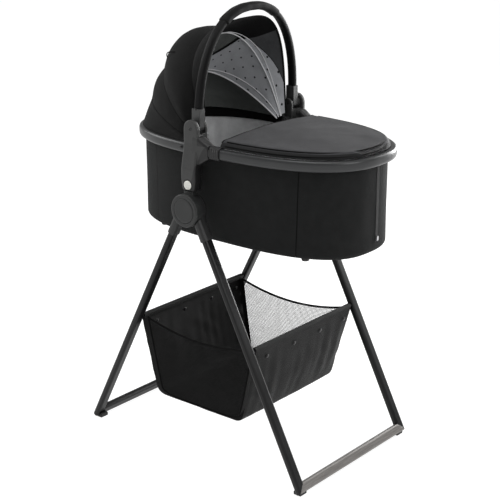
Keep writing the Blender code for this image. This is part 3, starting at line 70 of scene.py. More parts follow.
def new_finish(name, colour, roughness, metallic=0.0, **sockets):
    """A finish whose even values sit on the shader's own sockets."""
    made = bpy.data.materials.new(name)
    made.use_nodes = True
    shader = shader_of(made)
    shader.inputs["Base Color"].default_value = (*colour, 1)
    shader.inputs["Roughness"].default_value = roughness
    shader.inputs["Metallic"].default_value = metallic
    for socket, value in sockets.items():
        shader.inputs[socket.replace("_", " ")].default_value = value
    return made


def add(made, kind, settings=None, **sockets):
    """One more node in a finish."""
    node = made.node_tree.nodes.new("ShaderNode" + kind)
    for name, value in (settings or {}).items():
        setattr(node, name, value)
    for name, value in sockets.items():
        node.inputs[name].default_value = value
    return node


def join_up(made, source, target):
    made.node_tree.links.new(source, target)


def where(made, stretch=(1, 1, 1), by="Object"):
    """Coordinates on the piece, in metres or on its own flat map, stretched."""
    place = add(made, "TexCoord")
    aim = add(made, "Mapping")
    aim.inputs["Scale"].default_value = stretch
    join_up(made, place.outputs[by], aim.inputs["Vector"])
    return aim.outputs["Vector"]


def pattern(made, kind, settings=None, stretch=(1, 1, 1), by="Object", **sockets):
    """Value of a texture laid on the piece by its coordinates."""
    texture = add(made, "Tex" + kind, settings, **sockets)
    join_up(made, where(made, stretch, by), texture.inputs["Vector"])
    return texture.outputs["Distance" if kind == "Voronoi" else "Fac"]


def tint(made, value, dark, light, low=0.3, high=0.7):
    """Colour of the finish: dark where the value is low, light where it is high."""
    ramp = add(made, "ValToRGB")
    for element, place, colour in zip(ramp.color_ramp.elements, (low, high), (dark, light)):
        element.position = place
        element.color = (*colour, 1)
    join_up(made, value, ramp.inputs["Fac"])
    join_up(made, ramp.outputs["Color"], shader_of(made).inputs["Base Color"])


def roughen(made, value, low, high):
    """Roughness between low and high with a 0 to 1 value."""
    spread = add(made, "MapRange")
    spread.inputs["To Min"].default_value = low
    spread.inputs["To Max"].default_value = high
    join_up(made, value, spread.inputs["Value"])
    join_up(made, spread.outputs["Result"], shader_of(made).inputs["Roughness"])


def raise_up(made, value, height, strength=1.0):
    """Relief of that height, in metres, over any relief the finish already has."""
    bump = add(made, "Bump", Strength=strength, Distance=height)
    normal = shader_of(made).inputs["Normal"]
    for link in list(normal.links):
        join_up(made, link.from_socket, bump.inputs["Normal"])
    join_up(made, value, bump.inputs["Height"])
    join_up(made, bump.outputs["Normal"], normal)


def dress(made, *names):
    """Gives solids of the frame a finish."""
    for name in names:
        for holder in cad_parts[name].material_slots:
            holder.material = made


def soften(made, radius):
    """Lets edges of that radius catch the light, as on a bent tube or a moulding."""
    rounded = add(made, "Bevel", {"samples": 6}, Radius=radius)
    join_up(made, rounded.outputs["Normal"], shader_of(made).inputs["Normal"])


stand_paint = new_finish("stand_paint", (0.007, 0.007, 0.0075), 0.36, 0.05, Specular_IOR_Level=0.24)
soften(stand_paint, 0.0022)
peel = pattern(stand_paint, "Noise", Scale=1400, Detail=2)
haze = pattern(stand_paint, "Noise", stretch=(1, 1, 0.4), Scale=14, Detail=4)
tint(stand_paint, haze, (0.004, 0.004, 0.0042), (0.009, 0.009, 0.0094))
roughen(stand_paint, haze, 0.30, 0.44)
raise_up(stand_paint, peel, 0.00012, 0.5)
dress(
    stand_paint, "head_leg_near", "head_leg_far", "foot_leg_near", "foot_leg_far",
    "head_floor_bar", "basket_rod_head", "basket_rod_foot",
)
# The foot floor bar has the same black coat as the rest of the stand. Its pale grey colour and
# lengthwise streaks are a painted highlight, where its top catches the light. The same streaks also
# set its roughness and relief.
foot_bar_highlight = new_finish("foot_bar_painted_highlight", (0.13, 0.122, 0.115), 0.42, 0.25)
soften(foot_bar_highlight, 0.002)
highlight_streaks = pattern(foot_bar_highlight, "Noise", stretch=(6, 0.25, 6), Scale=60, Detail=5)
tint(foot_bar_highlight, highlight_streaks, (0.13, 0.122, 0.115), (0.20, 0.19, 0.18))
roughen(foot_bar_highlight, highlight_streaks, 0.28, 0.46)
raise_up(foot_bar_highlight, highlight_streaks, 0.00008, 0.4)
dress(foot_bar_highlight, "foot_floor_bar")

# Floor pads: short rubber blocks pressed into the ends of the floor bars, matt and slightly
# dusty where they meet the floor.
rubber = new_finish("pad_rubber", (0.014, 0.014, 0.014), 0.78)
dust = pattern(rubber, "Noise", Scale=180, Detail=6)
tint(rubber, dust, (0.011, 0.011, 0.011), (0.030, 0.029, 0.028), 0.35, 0.75)
raise_up(rubber, dust, 0.0003, 0.5)
dress(
    rubber, "foot_pad_near", "foot_pad_far", "head_pad_near", "head_pad_far",
    "base_foot_head_near", "base_foot_head_far", "base_foot_foot_near", "base_foot_foot_far",
)

# Hinge hubs and upright arms: glass-filled nylon, moulded in steel tools whose spark-eroded
# faces leave a fine leathery grain. The caps are pressed in after the bolts.
def grained_plastic(name, dark, light, roughness, grain):
    """A moulded finish with grains of that size, in metres."""
    made = new_finish(name, dark, roughness)
    soften(made, 0.0016)
    cells = pattern(made, "Voronoi", {"feature": "F1"}, Scale=0.7 / grain)
    cloud = pattern(made, "Noise", Scale=35, Detail=5)
    tint(made, cloud, dark, light)
    roughen(made, cloud, roughness - 0.05, roughness + 0.07)
    raise_up(made, cells, 0.00025, 0.45)
    return made


hub_plastic = grained_plastic(
    "hub_plastic", (0.007, 0.0078, 0.0075), (0.012, 0.0128, 0.0125), roughness=0.52, grain=0.0008
)
dress(hub_plastic, "hub_outer_near", "hub_outer_far", "hub_cover_near", "hub_cover_far")
arm_plastic = grained_plastic(
    "arm_plastic", (0.022, 0.0225, 0.022), (0.031, 0.0315, 0.031), roughness=0.48, grain=0.0007
)


def axes(made):
    """X, Y and Z on the piece, in metres."""
    split = add(made, "SeparateXYZ")
    join_up(made, where(made), split.inputs["Vector"])
    return split.outputs


def sums(made):
    """Arithmetic between places and numbers in that finish."""

    def step(operation, first, second=0.0):
        node = add(made, "Math", {"operation": operation})
        for socket, value in zip(node.inputs, (first, second)):
            if isinstance(value, (int, float)):
                socket.default_value = value
            else:
                join_up(made, value, socket)
        return node.outputs["Value"]

    return step


def paint_over(made, mask, colour):
    """Lays an even colour over the finish where the mask is 1."""
    over = add(made, "MixRGB")
    over.inputs["Color2"].default_value = (*colour, 1)
    base = shader_of(made).inputs["Base Color"]
    join_up(made, base.links[0].from_socket, over.inputs["Color1"])
    join_up(made, mask, over.inputs["Fac"])
    join_up(made, over.outputs["Color"], base)


# Black are the arm's inner side below the rim, the boot over the rim's end, whose edge curves up
# from the arm's plate, the strap over the rim, and a ring round the release button.
arm_x, arm_y, arm_z = axes(arm_plastic)
arm = sums(arm_plastic)
plate_side, below_rim = 0.250, 0.935
boot_end, boot_top, boot_curve = 0.062 + middle, 0.978, 0.150
strap_side, strap_low = 0.0265 + middle, 0.9765
button_height, bezel_radius = 0.8585, 0.0185
inner = arm("LESS_THAN", arm("ABSOLUTE", arm_y), plate_side)
inner_low = arm("MULTIPLY", inner, arm("LESS_THAN", arm_z, below_rim))
below_top = arm("SQRT", arm("MAXIMUM", arm("SUBTRACT", boot_top, arm_z), 0.0))
boot_edge = arm("SUBTRACT", boot_end, arm("MULTIPLY", below_top, boot_curve))
boot = arm("GREATER_THAN", arm_x, boot_edge)
past_side = arm("GREATER_THAN", arm_x, strap_side)
strap = arm("MULTIPLY", arm("GREATER_THAN", arm_z, strap_low), past_side)
off_x, off_z = arm("SUBTRACT", arm_x, middle), arm("SUBTRACT", arm_z, button_height)
off_button = arm("ADD", arm("MULTIPLY", off_x, off_x), arm("MULTIPLY", off_z, off_z))
bezel = arm("LESS_THAN", off_button, bezel_radius**2)
black_part = arm("MAXIMUM", arm("MAXIMUM", inner_low, arm("MAXIMUM", boot, strap)), bezel)
paint_over(arm_plastic, black_part, (0.004, 0.004, 0.0042))
dress(arm_plastic, "side_arm_near", "side_arm_far")
dark_plastic = grained_plastic(
    "dark_plastic", (0.006, 0.006, 0.0065), (0.011, 0.011, 0.0115), roughness=0.52, grain=0.0008
)
dress(
    dark_plastic, "hub_inner_near", "hub_inner_far", "canopy_pin_near", "canopy_pin_far",
    "canopy_rear_hoop", "canopy_mid_hoop", "canopy_front_hoop",
)
collar_plastic = grained_plastic(
    "collar_plastic", (0.004, 0.004, 0.0042), (0.007, 0.007, 0.0072), roughness=0.50, grain=0.0009
)
dress(collar_plastic, "rim_collar_near", "rim_collar_far")

# Bolts and screws: zinc-plated steel pivot bolts through the hubs and blackened screws at the
# handle's feet. Their heads are turned, so the gloss runs in rings.
steel = new_finish("plated_steel", (0.50, 0.50, 0.51), 0.30, 1.0)
turning = pattern(steel, "Noise", stretch=(1, 0.05, 1), Scale=900, Detail=3)
tint(steel, turning, (0.36, 0.36, 0.37), (0.58, 0.58, 0.59))
roughen(steel, turning, 0.22, 0.42)
raise_up(steel, turning, 0.00006, 0.5)
dress(steel, "pivot_bolt_near", "pivot_bolt_far", "arm_tongue_near", "arm_tongue_far", "zip_pull")
dark_steel = new_finish("blackened_steel", (0.035, 0.035, 0.036), 0.34, 0.9)
blacking = pattern(dark_steel, "Noise", Scale=700, Detail=3)
tint(dark_steel, blacking, (0.02, 0.02, 0.02), (0.07, 0.07, 0.07))
raise_up(dark_steel, blacking, 0.00008, 0.4)
dress(dark_steel, "handle_screw_near", "handle_screw_far")

# Release buttons: off-white acetal discs, one in each arm, moulded in one piece and held by the
# arm's wall. Thumbs have polished them in the middle.
white_plastic = new_finish("button_acetal", (0.80, 0.80, 0.74), 0.30, Coat_Weight=0.15)
wear = pattern(white_plastic, "Noise", Scale=130, Detail=4)
tint(white_plastic, wear, (0.74, 0.74, 0.68), (0.84, 0.84, 0.79))
roughen(white_plastic, wear, 0.24, 0.40)
raise_up(white_plastic, wear, 0.00006, 0.4)
dress(white_plastic, "release_button_near", "release_button_far")


# Rim: two bent aluminium tubes that meet in the arms, flat-sided and painted satin grey. The
# tube is rounded over its corners, so a bright line runs along its upper edge.
def round_curve(turn, power):
    """Cosine and sine of a squarer round, evenly spread; power 2 is a plain circle."""
    across, along = math.cos(turn), math.sin(turn)
    grow = (abs(across) ** power + abs(along) ** power) ** (-1 / power)
    return across * grow, along * grow


def shaped(name, across, along, place, wall=None, inside=None, caps=False):
    """A subdivided sheet put in place by its two shares, closed up where its edges meet."""
    bpy.ops.object.select_all(action="DESELECT")
    bpy.ops.mesh.primitive_grid_add(x_subdivisions=across, y_subdivisions=along, size=1)
    piece = bpy.context.object
    piece.name = name
    for vert in piece.data.vertices:
        column, row = round((vert.co.x + 0.5) * across), round((vert.co.y + 0.5) * along)
        vert.co = place(column / across, row / along)
    bpy.ops.object.mode_set(mode="EDIT")
    bpy.ops.mesh.select_all(action="SELECT")
    bpy.ops.mesh.remove_doubles(threshold=0.00002)
    if caps:
        bpy.ops.mesh.fill_holes(sides=0)
        bpy.ops.mesh.select_all(action="SELECT")
        bpy.ops.mesh.normals_make_consistent(inside=False)
    if inside is not None:
        bpy.ops.object.mode_set(mode="OBJECT")
        core = Vector(inside)
        faces = piece.data.polygons
        if sum((face.center - core).dot(face.normal) * face.area for face in faces) < 0:
            bpy.ops.object.mode_set(mode="EDIT")
            bpy.ops.mesh.flip_normals()
    bpy.ops.object.mode_set(mode="OBJECT")
    if wall:
        thick = piece.modifiers.new("wall", "SOLIDIFY")
        thick.thickness = wall
        thick.offset = -1
        bpy.ops.object.modifier_apply(modifier="wall")
    bpy.ops.object.shade_smooth_by_angle(angle=math.radians(38))
    return piece


def settle(piece, made, body, *replaced):
    """Gives a new piece its finish and its body; a piece between two bodies only has its place
    fixed in its mesh, and the two bodies and their ends are not used.
    """
    piece.data.materials.clear()
    piece.data.materials.append(made)
    if isinstance(body, str):
        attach(piece, body)
    else:
        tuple(body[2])
        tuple(body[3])
        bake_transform(piece)
    if replaced:
        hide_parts(*replaced)


def heading(line, turn):
    """Which way a line runs at that turn."""
    return (line(turn + 0.002) - line(turn - 0.002)).normalized()


def box_section(turn, deep, high, power):
    """A point round a tube's flat-sided section."""
    out, up = round_curve(turn, power)
    return out * deep / 2, up * high / 2


rim_half_long, rim_half_wide, rim_middle, rim_height, rim_power = 0.410, 0.234, 0.065, 0.959, 2.52
rim_deep, rim_high = 0.024, 0.031
centre_x = rim_middle + middle


def rim_line(turn):
    """Middle of the rim's tube; turn 0 is the foot end, a quarter turn the far side."""
    across, along = round_curve(turn, rim_power)
    return Vector((rim_middle + rim_half_long * across + middle, rim_half_wide * along, rim_height))


def rim_tube(name, start, end, rows):
    """Tube along the rim between two turns, measured from the foot end."""

    def place(round_share, along_share):
        turn = start + (end - start) * along_share
        run = heading(rim_line, turn)
        out = Vector((run.y, -run.x, 0))
        deep, high = box_section(math.tau * round_share, rim_deep, rim_high, 3.4)
        return rim_line(turn) + out * deep + Vector((0, 0, high))

    return shaped(name, 32, rows, place, caps=True)


rim_paint = new_finish("rim_paint", (0.044, 0.045, 0.046), 0.30, 0.6)
flake = pattern(rim_paint, "Noise", Scale=2200, Detail=1)
drift = pattern(rim_paint, "Noise", Scale=9, Detail=3)
tint(rim_paint, drift, (0.038, 0.039, 0.040), (0.050, 0.051, 0.052))
roughen(rim_paint, flake, 0.30, 0.44)
raise_up(rim_paint, flake, 0.00005, 0.4)


def turn_at(x):
    """Turn at which the rim's line passes that X, on the far side."""
    low, high = 0.0, math.pi
    for _ in range(40):
        half = (low + high) / 2
        low, high = (half, high) if rim_line(half).x - middle > x else (low, half)
    return low


foot_start, head_start = turn_at(0.012), turn_at(-0.008)
for word, start, end, rows in (
    ("foot", -foot_start, foot_start, 150), ("head", head_start, math.tau - head_start, 110),
):
    rim = rim_tube(f"rim_{word}_bow", start, end, rows)
    settle(rim, rim_paint, "bassinet", "rim_tube_" + word)


# Rivets: domed steel blind rivets, set from outside. They pin the rim to the arms and the
# handle in its sleeves.
def rivet(name, spot, side, body, radius=0.0042):
    """A domed head with a pulled pin in its middle, facing out to one side."""
    bpy.ops.object.select_all(action="DESELECT")
    bpy.ops.mesh.primitive_cylinder_add(vertices=24, radius=radius, depth=0.0016)
    head = bpy.context.object
    head.name = name
    bpy.ops.object.mode_set(mode="EDIT")
    bpy.ops.mesh.select_mode(type="FACE")
    bpy.ops.mesh.select_all(action="DESELECT")
    bpy.ops.object.mode_set(mode="OBJECT")
    for face in head.data.polygons:
        face.select = face.normal.z > 0.9
    bpy.ops.object.mode_set(mode="EDIT")
    for share, rise in ((0.35, 0.0006), (0.25, -0.0008), (0.06, 0.0004)):
        bpy.ops.mesh.inset(thickness=radius * share)
        bpy.ops.transform.translate(value=(0, 0, rise))
    bpy.ops.object.mode_set(mode="OBJECT")
    softened = head.modifiers.new("edge", "BEVEL")
    softened.width = 0.0003
    softened.segments = 2
    bpy.ops.object.modifier_apply(modifier="edge")
    head.rotation_euler = (math.radians(90 * -side), 0, 0)
    head.location = (spot[0] + middle, spot[1], spot[2])
    bpy.ops.object.transform_apply(location=True, rotation=True, scale=True)
    bpy.ops.object.shade_smooth_by_angle(angle=math.radians(35))
    settle(head, dark_steel, body)


for side, word in ((-1, "near"), (1, "far")):
    rivet("rim_rivet_" + word, (-0.0450, side * 0.2463, 0.9605), side, "bassinet")
    rivet("sleeve_rivet_" + word, (0.0, side * 0.2287, 1.0735), side, "carry_handle", 0.0036)


# Carrying handle: a bent aluminium tube in moulded end sleeves, with the middle wrapped in a
# soft foam grip under a leather-like skin whose seam is sewn along the inside of the bow.
handle_half_wide, handle_foot, handle_rise, handle_lean = 0.2185, 1.030, 0.313, 0.013
bow_wide, bow_deep = 0.026, 0.018


def handle_line(turn):
    """Middle of the handle's tube; turn runs from the near end over to the far one."""
    across, along = round_curve(turn, 2.36)
    lift = max(along, 0.0)
    x, z = middle + handle_lean * lift, handle_foot + handle_rise * lift
    return Vector((x, -handle_half_wide * across, z))


def bow_tube(name, start, end, rows, wide, deep, power, swell=None):
    """Flat-sided tube along the handle between two turns."""

    def place(round_share, along_share):
        turn = start + (end - start) * along_share
        side = Vector((1, 0, 0))
        grow = swell(along_share) if swell else 0
        across, up = box_section(math.tau * round_share, wide + grow, deep + grow, power)
        return handle_line(turn) + side * across + heading(handle_line, turn).cross(side) * up

    return shaped(name, 28, rows, place, caps=True)


handle_paint = new_finish("handle_paint", (0.004, 0.004, 0.0042), 0.48, Specular_IOR_Level=0.10)
soften(handle_paint, 0.002)
peel = pattern(handle_paint, "Noise", Scale=1200, Detail=2)
tint(handle_paint, peel, (0.003, 0.003, 0.0032), (0.006, 0.006, 0.0062))
raise_up(handle_paint, peel, 0.0001, 0.4)
bow = bow_tube("handle_bow", 0.0, math.pi, 110, bow_wide, bow_deep, 3.6)
settle(bow, handle_paint, "carry_handle", "handle_tube")
sleeve_plastic = grained_plastic(
    "sleeve_plastic", (0.030, 0.031, 0.031), (0.040, 0.041, 0.041), roughness=0.42, grain=0.0007
)
dress(sleeve_plastic, "handle_end_near", "handle_end_far")

grip_skin = new_finish("grip_skin", (0.006, 0.006, 0.006), 0.68, Specular_IOR_Level=0.09)
pores = pattern(grip_skin, "Voronoi", {"feature": "DISTANCE_TO_EDGE"}, Scale=520)
creases = pattern(grip_skin, "Noise", Scale=55, Detail=5)
tint(grip_skin, creases, (0.005, 0.005, 0.005), (0.010, 0.010, 0.010))
roughen(grip_skin, creases, 0.56, 0.74)
raise_up(grip_skin, pores, 0.0003, 0.5)
raise_up(grip_skin, creases, 0.0006, 0.35)


def grip_swell(share):
    """The grip is full in its length and rolls in at both ends."""
    edge = min(share, 1 - share) * 60
    return 0.0058 * math.sqrt(min(edge, 1.0)) + 0.0004 * math.sin(share * 37)


grip_start = math.radians(58.5)
grip_end = math.pi - grip_start
grip = bow_tube(
    "handle_grip_skin", grip_start, grip_end, 120, bow_wide + 0.0002, bow_deep + 0.0002, 3.0,
    grip_swell,
)
settle(grip, grip_skin, "carry_handle", "handle_grip")

stitch_thread = new_finish("grip_thread", (0.035, 0.035, 0.035), 0.6)
twist = pattern(stitch_thread, "Noise", Scale=2500, Detail=2)
tint(stitch_thread, twist, (0.025, 0.025, 0.025), (0.060, 0.060, 0.060))
stitches, stitch_count, hem, seam_depth = None, 86, 0.05, 0.01205
for k in range(stitch_count):
    turn = grip_start + hem + (grip_end - grip_start - 2 * hem) * k / (stitch_count - 1)
    run = heading(handle_line, turn)
    out = run.cross(Vector((1, 0, 0)))
    bpy.ops.object.select_all(action="DESELECT")
    bpy.ops.mesh.primitive_ico_sphere_add(subdivisions=1, radius=1)
    stitch = bpy.context.object
    inner = handle_line(turn) - out * seam_depth
    bed = Matrix((Vector((1, 0, 0)), run, out)).transposed().to_4x4()
    lean = Matrix.Rotation(math.radians(24), 4, "Z")
    size = Matrix.Diagonal((0.0022, 0.0005, 0.0005, 1))
    stitch.data.transform(Matrix.Translation(inner) @ bed @ lean @ size)
    if stitches is None:
        stitches = stitch
    else:
        stitches.select_set(True)
        bpy.context.view_layer.objects.active = stitches
        bpy.ops.object.join()
stitches.name = "grip_stitches"
settle(stitches, stitch_thread, "carry_handle")


# Tub cover: black polyester cloth over a foam wall, closed by upright seams on both sides and
# a seam round the floor. It pulls in at each seam and is slightly slack between them.
def folds(x, y, z, size, height):
    """Slack in cloth: soft hollows of about that size, in metres."""
    return height * noise.noise(Vector((x / size, y / size, z / size)))


tub_top, tub_floor, lower_round = 0.957, 0.680, 0.018
tub_bend = tub_floor + lower_round
tub_half_long, tub_half_wide, tub_flare = 0.398, 0.204, 0.0177


def tub_outline(turn, z, inset=0.0, full=0.0):
    """A point round the wall at that height; a full wall swells a little at the head end."""
    lift = (z - tub_floor) / (tub_top - tub_floor)
    across, along = round_curve(turn, 2.75 + (rim_power - 2.75) * lift)
    long = tub_half_long - 0.0003 * lift - inset
    wide = tub_half_wide + tub_flare * lift - inset
    below = min(max((0.944 - z) / 0.012, 0.0), 1.0)
    head = 1 + full * 0.020 * below if across < 0 else 1
    return Vector((centre_x + long * across * head, wide * along, z))


def seam_dip(distance, width, depth):
    """Depth of a seam at that distance from its middle."""
    return depth * math.exp(-((distance / width) ** 2))


seam_places, seam_middle, seam_slant, seam_half = (0.331, -0.20), 0.82, 0.04, 0.0017


def tub_spot(round_share, down):
    """From the rim down the wall, round the lower edge and in to the middle of the floor."""
    turn = math.tau * round_share
    wall_share, bend_share = 0.62, 0.78
    if down < wall_share:
        z = tub_top - (tub_top - tub_bend) * down / wall_share
        spot = tub_outline(turn, z, full=1)
        free = math.sin(math.pi * min(max((tub_top - z) / (tub_top - tub_bend), 0), 1))
        push = folds(spot.x, spot.y, z * 0.5, 0.11, 0.0016) * free
        push += folds(spot.x, spot.y, z * 0.3, 0.035, 0.0006) * free
        for seam_x in seam_places:
            near = spot.x - middle - seam_x - (z - seam_middle) * seam_slant
            push -= seam_dip(near, 0.0030, 0.0016)
            push += 0.0005 * math.sin(z * 420) * seam_dip(near - 0.007, 0.006, 1.0)
        push -= seam_dip(z - 0.7015, 0.0022, 0.0010)
        out = (spot - Vector((centre_x, 0, z))).normalized()
        return spot + out * push
    if down < bend_share:
        bend = math.pi / 2 * (down - wall_share) / (bend_share - wall_share)
        height = tub_bend - lower_round * math.sin(bend)
        return tub_outline(turn, height, lower_round * (1 - math.cos(bend)), 1)
    centre = Vector((centre_x, 0, tub_floor))
    reach = (1 - down) / (1 - bend_share)
    return centre + (tub_outline(turn, tub_floor, lower_round, 1) - centre) * reach


def woven(made, long, wide, thread, height, twill=0.0):
    """Threads that go over and under each other on the piece's flat map, long by wide metres."""
    stretch, one_thread = (long / thread, wide / thread, 1), 0.157
    slope = {"bands_direction": "DIAGONAL" if twill else "X"}
    weft = pattern(made, "Wave", slope, stretch, "UV", Scale=one_thread * (twill or 1))
    warp = pattern(made, "Wave", {"bands_direction": "Y"}, stretch, "UV", Scale=one_thread)
    step = sums(made)
    over = step("ABSOLUTE", step("SUBTRACT", weft, warp))
    raise_up(made, over, height, 0.6)
    return over


def cloth(name, dark, light, roughness, long, wide, thread, height=0.0004, twill=0.0, sheen=0.02):
    """A woven finish: the weave's relief, uneven dye and a soft sheen."""
    made = new_finish(name, dark, roughness, Sheen_Weight=sheen, Sheen_Roughness=0.5)
    shader_of(made).inputs["Specular IOR Level"].default_value = 0.12
    weave = woven(made, long, wide, thread, height, twill)
    dye = pattern(made, "Noise", Scale=24, Detail=6, Roughness=0.6)
    slub_map = (long / 0.02, wide / 0.0015, 1)
    slub = pattern(made, "Noise", stretch=slub_map, by="UV", Scale=3, Detail=3)
    step = sums(made)
    uneven = step("ADD", step("MULTIPLY", slub, 0.35), dye)
    shade = step("ADD", step("MULTIPLY", weave, 0.18), uneven)
    tint(made, shade, dark, light, 0.45, 1.0)
    roughen(made, dye, roughness - 0.06, roughness + 0.08)
    return made


tub_cloth = cloth(
    "tub_cloth", (0.0080, 0.0085, 0.0085), (0.015, 0.0155, 0.0155), 0.80,
    long=2.0, wide=0.62, thread=0.0011,
)
tub_x, _, tub_z = axes(tub_cloth)
tub = sums(tub_cloth)
slant = tub("MULTIPLY", tub("SUBTRACT", tub_z, seam_middle), seam_slant)
in_seam = 0.0
for seam_x in seam_places:
    off = tub("SUBTRACT", tub("SUBTRACT", tub_x, seam_x + middle), slant)
    in_seam = tub("MAXIMUM", tub("LESS_THAN", tub("ABSOLUTE", off), seam_half), in_seam)
paint_over(tub_cloth, in_seam, (0.0005, 0.0005, 0.0005))
tub_cover = shaped("tub_cover", 200, 50, tub_spot, wall=0.0085, inside=(centre_x, 0, 0.83))
settle(tub_cover, tub_cloth, "bassinet", "tub_wall")


# Lining: pale grey cotton jersey that hangs inside the wall in soft upright gathers, drawn up
# by elastic under the rim and tucked under the mattress.
def lining_spot(round_share, down):
    """A point of the lining; down runs from under the rim to the mattress."""
    turn, top, low = math.tau * round_share, 0.9568, 0.705
    z = top - (top - low) * down
    spot = tub_outline(turn, z, 0.0105)
    gather = 0.5 + 0.5 * math.sin(turn * 46 + 3.0 * noise.noise(Vector((turn * 4, 0, 1))))
    gather *= 0.0040 * (0.35 + 0.65 * abs(noise.noise(Vector((turn * 7, down, 3)))) * 2)
    slack = 0.0035 * math.sin(math.pi * min(down * 1.15, 1.0))
    inward = (Vector((centre_x, 0, z)) - spot).normalized()
    return spot + inward * (gather * (0.4 + 0.6 * math.sin(math.pi * down)) + slack + 0.0003)


lining_cloth = cloth(
    "lining_cloth", (0.56, 0.565, 0.57), (0.80, 0.805, 0.81), 0.90,
    long=1.95, wide=0.25, thread=0.0012, height=0.0003,
)
tub_lining = shaped(
    "tub_lining_cloth", 360, 16, lining_spot, wall=0.0012, inside=(centre_x, 0, 0.83)
)
settle(tub_lining, lining_cloth, "bassinet", "tub_lining")

# Base board: a hardboard panel that lies loose under the mattress and keeps the tub's floor
# flat. It is smooth above, mottled brown and waxed.
board = new_finish("hardboard", (0.10, 0.08, 0.06), 0.72)
fibres = pattern(board, "Noise", Scale=240, Detail=8)
tint(board, fibres, (0.07, 0.055, 0.04), (0.15, 0.115, 0.085))
raise_up(board, fibres, 0.0002, 0.5)
dress(board, "base_board")


# Mattress: a polyester pad in a pale grey knitted cover, sewn round its edge with a welt and
# swollen by its filling, so it crowns between its edges.
board_top, pad_low, pad_middle, pad_high, pad_crown = 0.693, 0.6937, 0.7107, 0.7275, 0.011
pad_inset, pad_edge = 0.034, 0.008


def mattress_spot(round_share, over):
    """From the middle of the underside, out round the edge and back over the crowned top."""
    turn, under_share, edge_share = math.tau * round_share, 0.3, 0.55
    if under_share <= over < edge_share:
        bend = math.pi * (over - under_share) / (edge_share - under_share)
        inset = pad_inset - pad_edge * math.sin(bend) + seam_dip(bend - math.pi / 2, 0.12, 0.003)
        edge = tub_outline(turn, board_top, inset)
        return Vector((edge.x, edge.y, pad_middle - (pad_high - pad_middle) * math.cos(bend)))
    if over < under_share:
        reach, z = over / under_share, pad_low
    else:
        reach = (1 - over) / (1 - edge_share)
        lumps = noise.noise(Vector((reach * math.cos(turn) * 4, reach * math.sin(turn) * 3, 5)))
        z = pad_high + pad_crown * (1 - reach**3) + 0.0012 * lumps
    edge = tub_outline(turn, board_top, pad_inset)
    return Vector((centre_x + (edge.x - centre_x) * reach, edge.y * reach, z))


mattress_cloth = cloth(
    "mattress_cloth", (0.46, 0.46, 0.47), (0.60, 0.60, 0.61), 0.92,
    long=1.9, wide=0.5, thread=0.0016, height=0.0004,
)
mattress_pad = shaped("mattress_pad", 120, 40, mattress_spot, inside=(centre_x, 0, 0.717))
settle(mattress_pad, mattress_cloth, "bassinet", "mattress")


# Apron: a wind cover of satin grey twill over thin wadding, zipped round the foot half of the
# rim. A black welt joins its top to a black side band, and its head edge is bound.
apron_low, apron_edge, apron_crown, apron_inset = 0.9760, 0.0175, 0.010, 0.006
head_x, foot_x = 0.090 + middle, centre_x + rim_half_long - 0.010


def apron_spot(side_share, inward):
    """Across from the near edge to the far one at inward 0 to 1, which runs from foot to head."""
    reach = 2 * side_share - 1
    x = foot_x - (foot_x - head_x) * (1 - (1 - inward) ** 0.8 if inward < 1 else 1)
    far_share = min(abs(x - centre_x) / (rim_half_long - apron_inset), 1.0)
    half = (rim_half_wide - apron_inset) * (1 - far_share**rim_power) ** (1 / rim_power)
    y = half * math.copysign(abs(reach) ** 0.75, reach)
    edge = 1 - abs(reach) ** 0.75
    end = (foot_x - x) / (foot_x - head_x)
    closeness = min(edge * half / 0.20, 1.0, end * 1.9)
    dome = min(edge * half, foot_x - x)
    z = apron_low + apron_edge * min(dome / 0.020, 1.0) ** 0.5 + apron_crown * closeness**0.8
    slack = folds(x, y, 0, 0.09, 0.0022) + folds(x, y * 0.4, 1, 0.03, 0.0007)
    return Vector((x, y, z + slack * min(dome / 0.05, 1)))


apron_cloth = cloth(
    "apron_cloth", (0.029, 0.029, 0.031), (0.050, 0.050, 0.053), 0.66,
    long=0.45, wide=0.40, thread=0.0010, height=0.0003, twill=1.4, sheen=0.06,
)
band_height = 0.9895
side_band = sums(apron_cloth)("LESS_THAN", axes(apron_cloth)["Z"], band_height)
paint_over(apron_cloth, side_band, (0.012, 0.012, 0.0125))
apron = shaped("apron_cover", 80, 70, apron_spot, wall=0.0045, inside=(0.3 + middle, 0, 0.5))
settle(apron, apron_cloth, "bassinet", "apron")

black_tape = new_finish("black_tape", (0.004, 0.004, 0.004), 0.80, Specular_IOR_Level=0.1)
ribs = pattern(black_tape, "Noise", Scale=1100, Detail=2)
tint(black_tape, ribs, (0.002, 0.002, 0.002), (0.006, 0.006, 0.006))
raise_up(black_tape, ribs, 0.0003, 0.6)


def welt(name, points, radius, made, body):
    """A round cord or a tape's edge sewn into a seam, along its points."""
    line = bpy.data.curves.new(name, "CURVE")
    line.dimensions = "3D"
    path = line.splines.new("POLY")
    path.points.add(len(points) - 1)
    for spot, point in zip(path.points, points):
        spot.co = (*point, 1)
    line.bevel_depth = radius
    line.bevel_resolution = 2
    line.use_fill_caps = True
    piece = bpy.data.objects.new(name, line)
    bpy.context.collection.objects.link(piece)
    bpy.ops.object.select_all(action="DESELECT")
    piece.select_set(True)
    bpy.context.view_layer.objects.active = piece
    bpy.ops.object.convert(target="MESH")
    bpy.ops.object.shade_smooth()
    settle(bpy.context.object, made, body)


steps = [k / 90 for k in range(91)]


def apron_line(inset, height):
    """Points along the apron's edge, from the near side round the foot end to the far side."""
    line = []
    for s in steps:
        across, along = round_curve(math.pi * (s - 0.5), rim_power)
        x = centre_x + (rim_half_long - inset) * across
        if x > head_x + 0.004:
            line.append(Vector((x, (rim_half_wide - inset) * along, height)))
    return line


welt("apron_piping", apron_line(0.0185, 0.9925), 0.0019, black_tape, "bassinet")
welt("apron_zip_edge", apron_line(0.0085, 0.9825), 0.0015, black_tape, "bassinet")
head_line = [apron_spot(0.03 + 0.94 * s, 1.0) + Vector((-0.001, 0, -0.001)) for s in steps]
welt("apron_head_binding", head_line, 0.0022, black_tape, "bassinet")


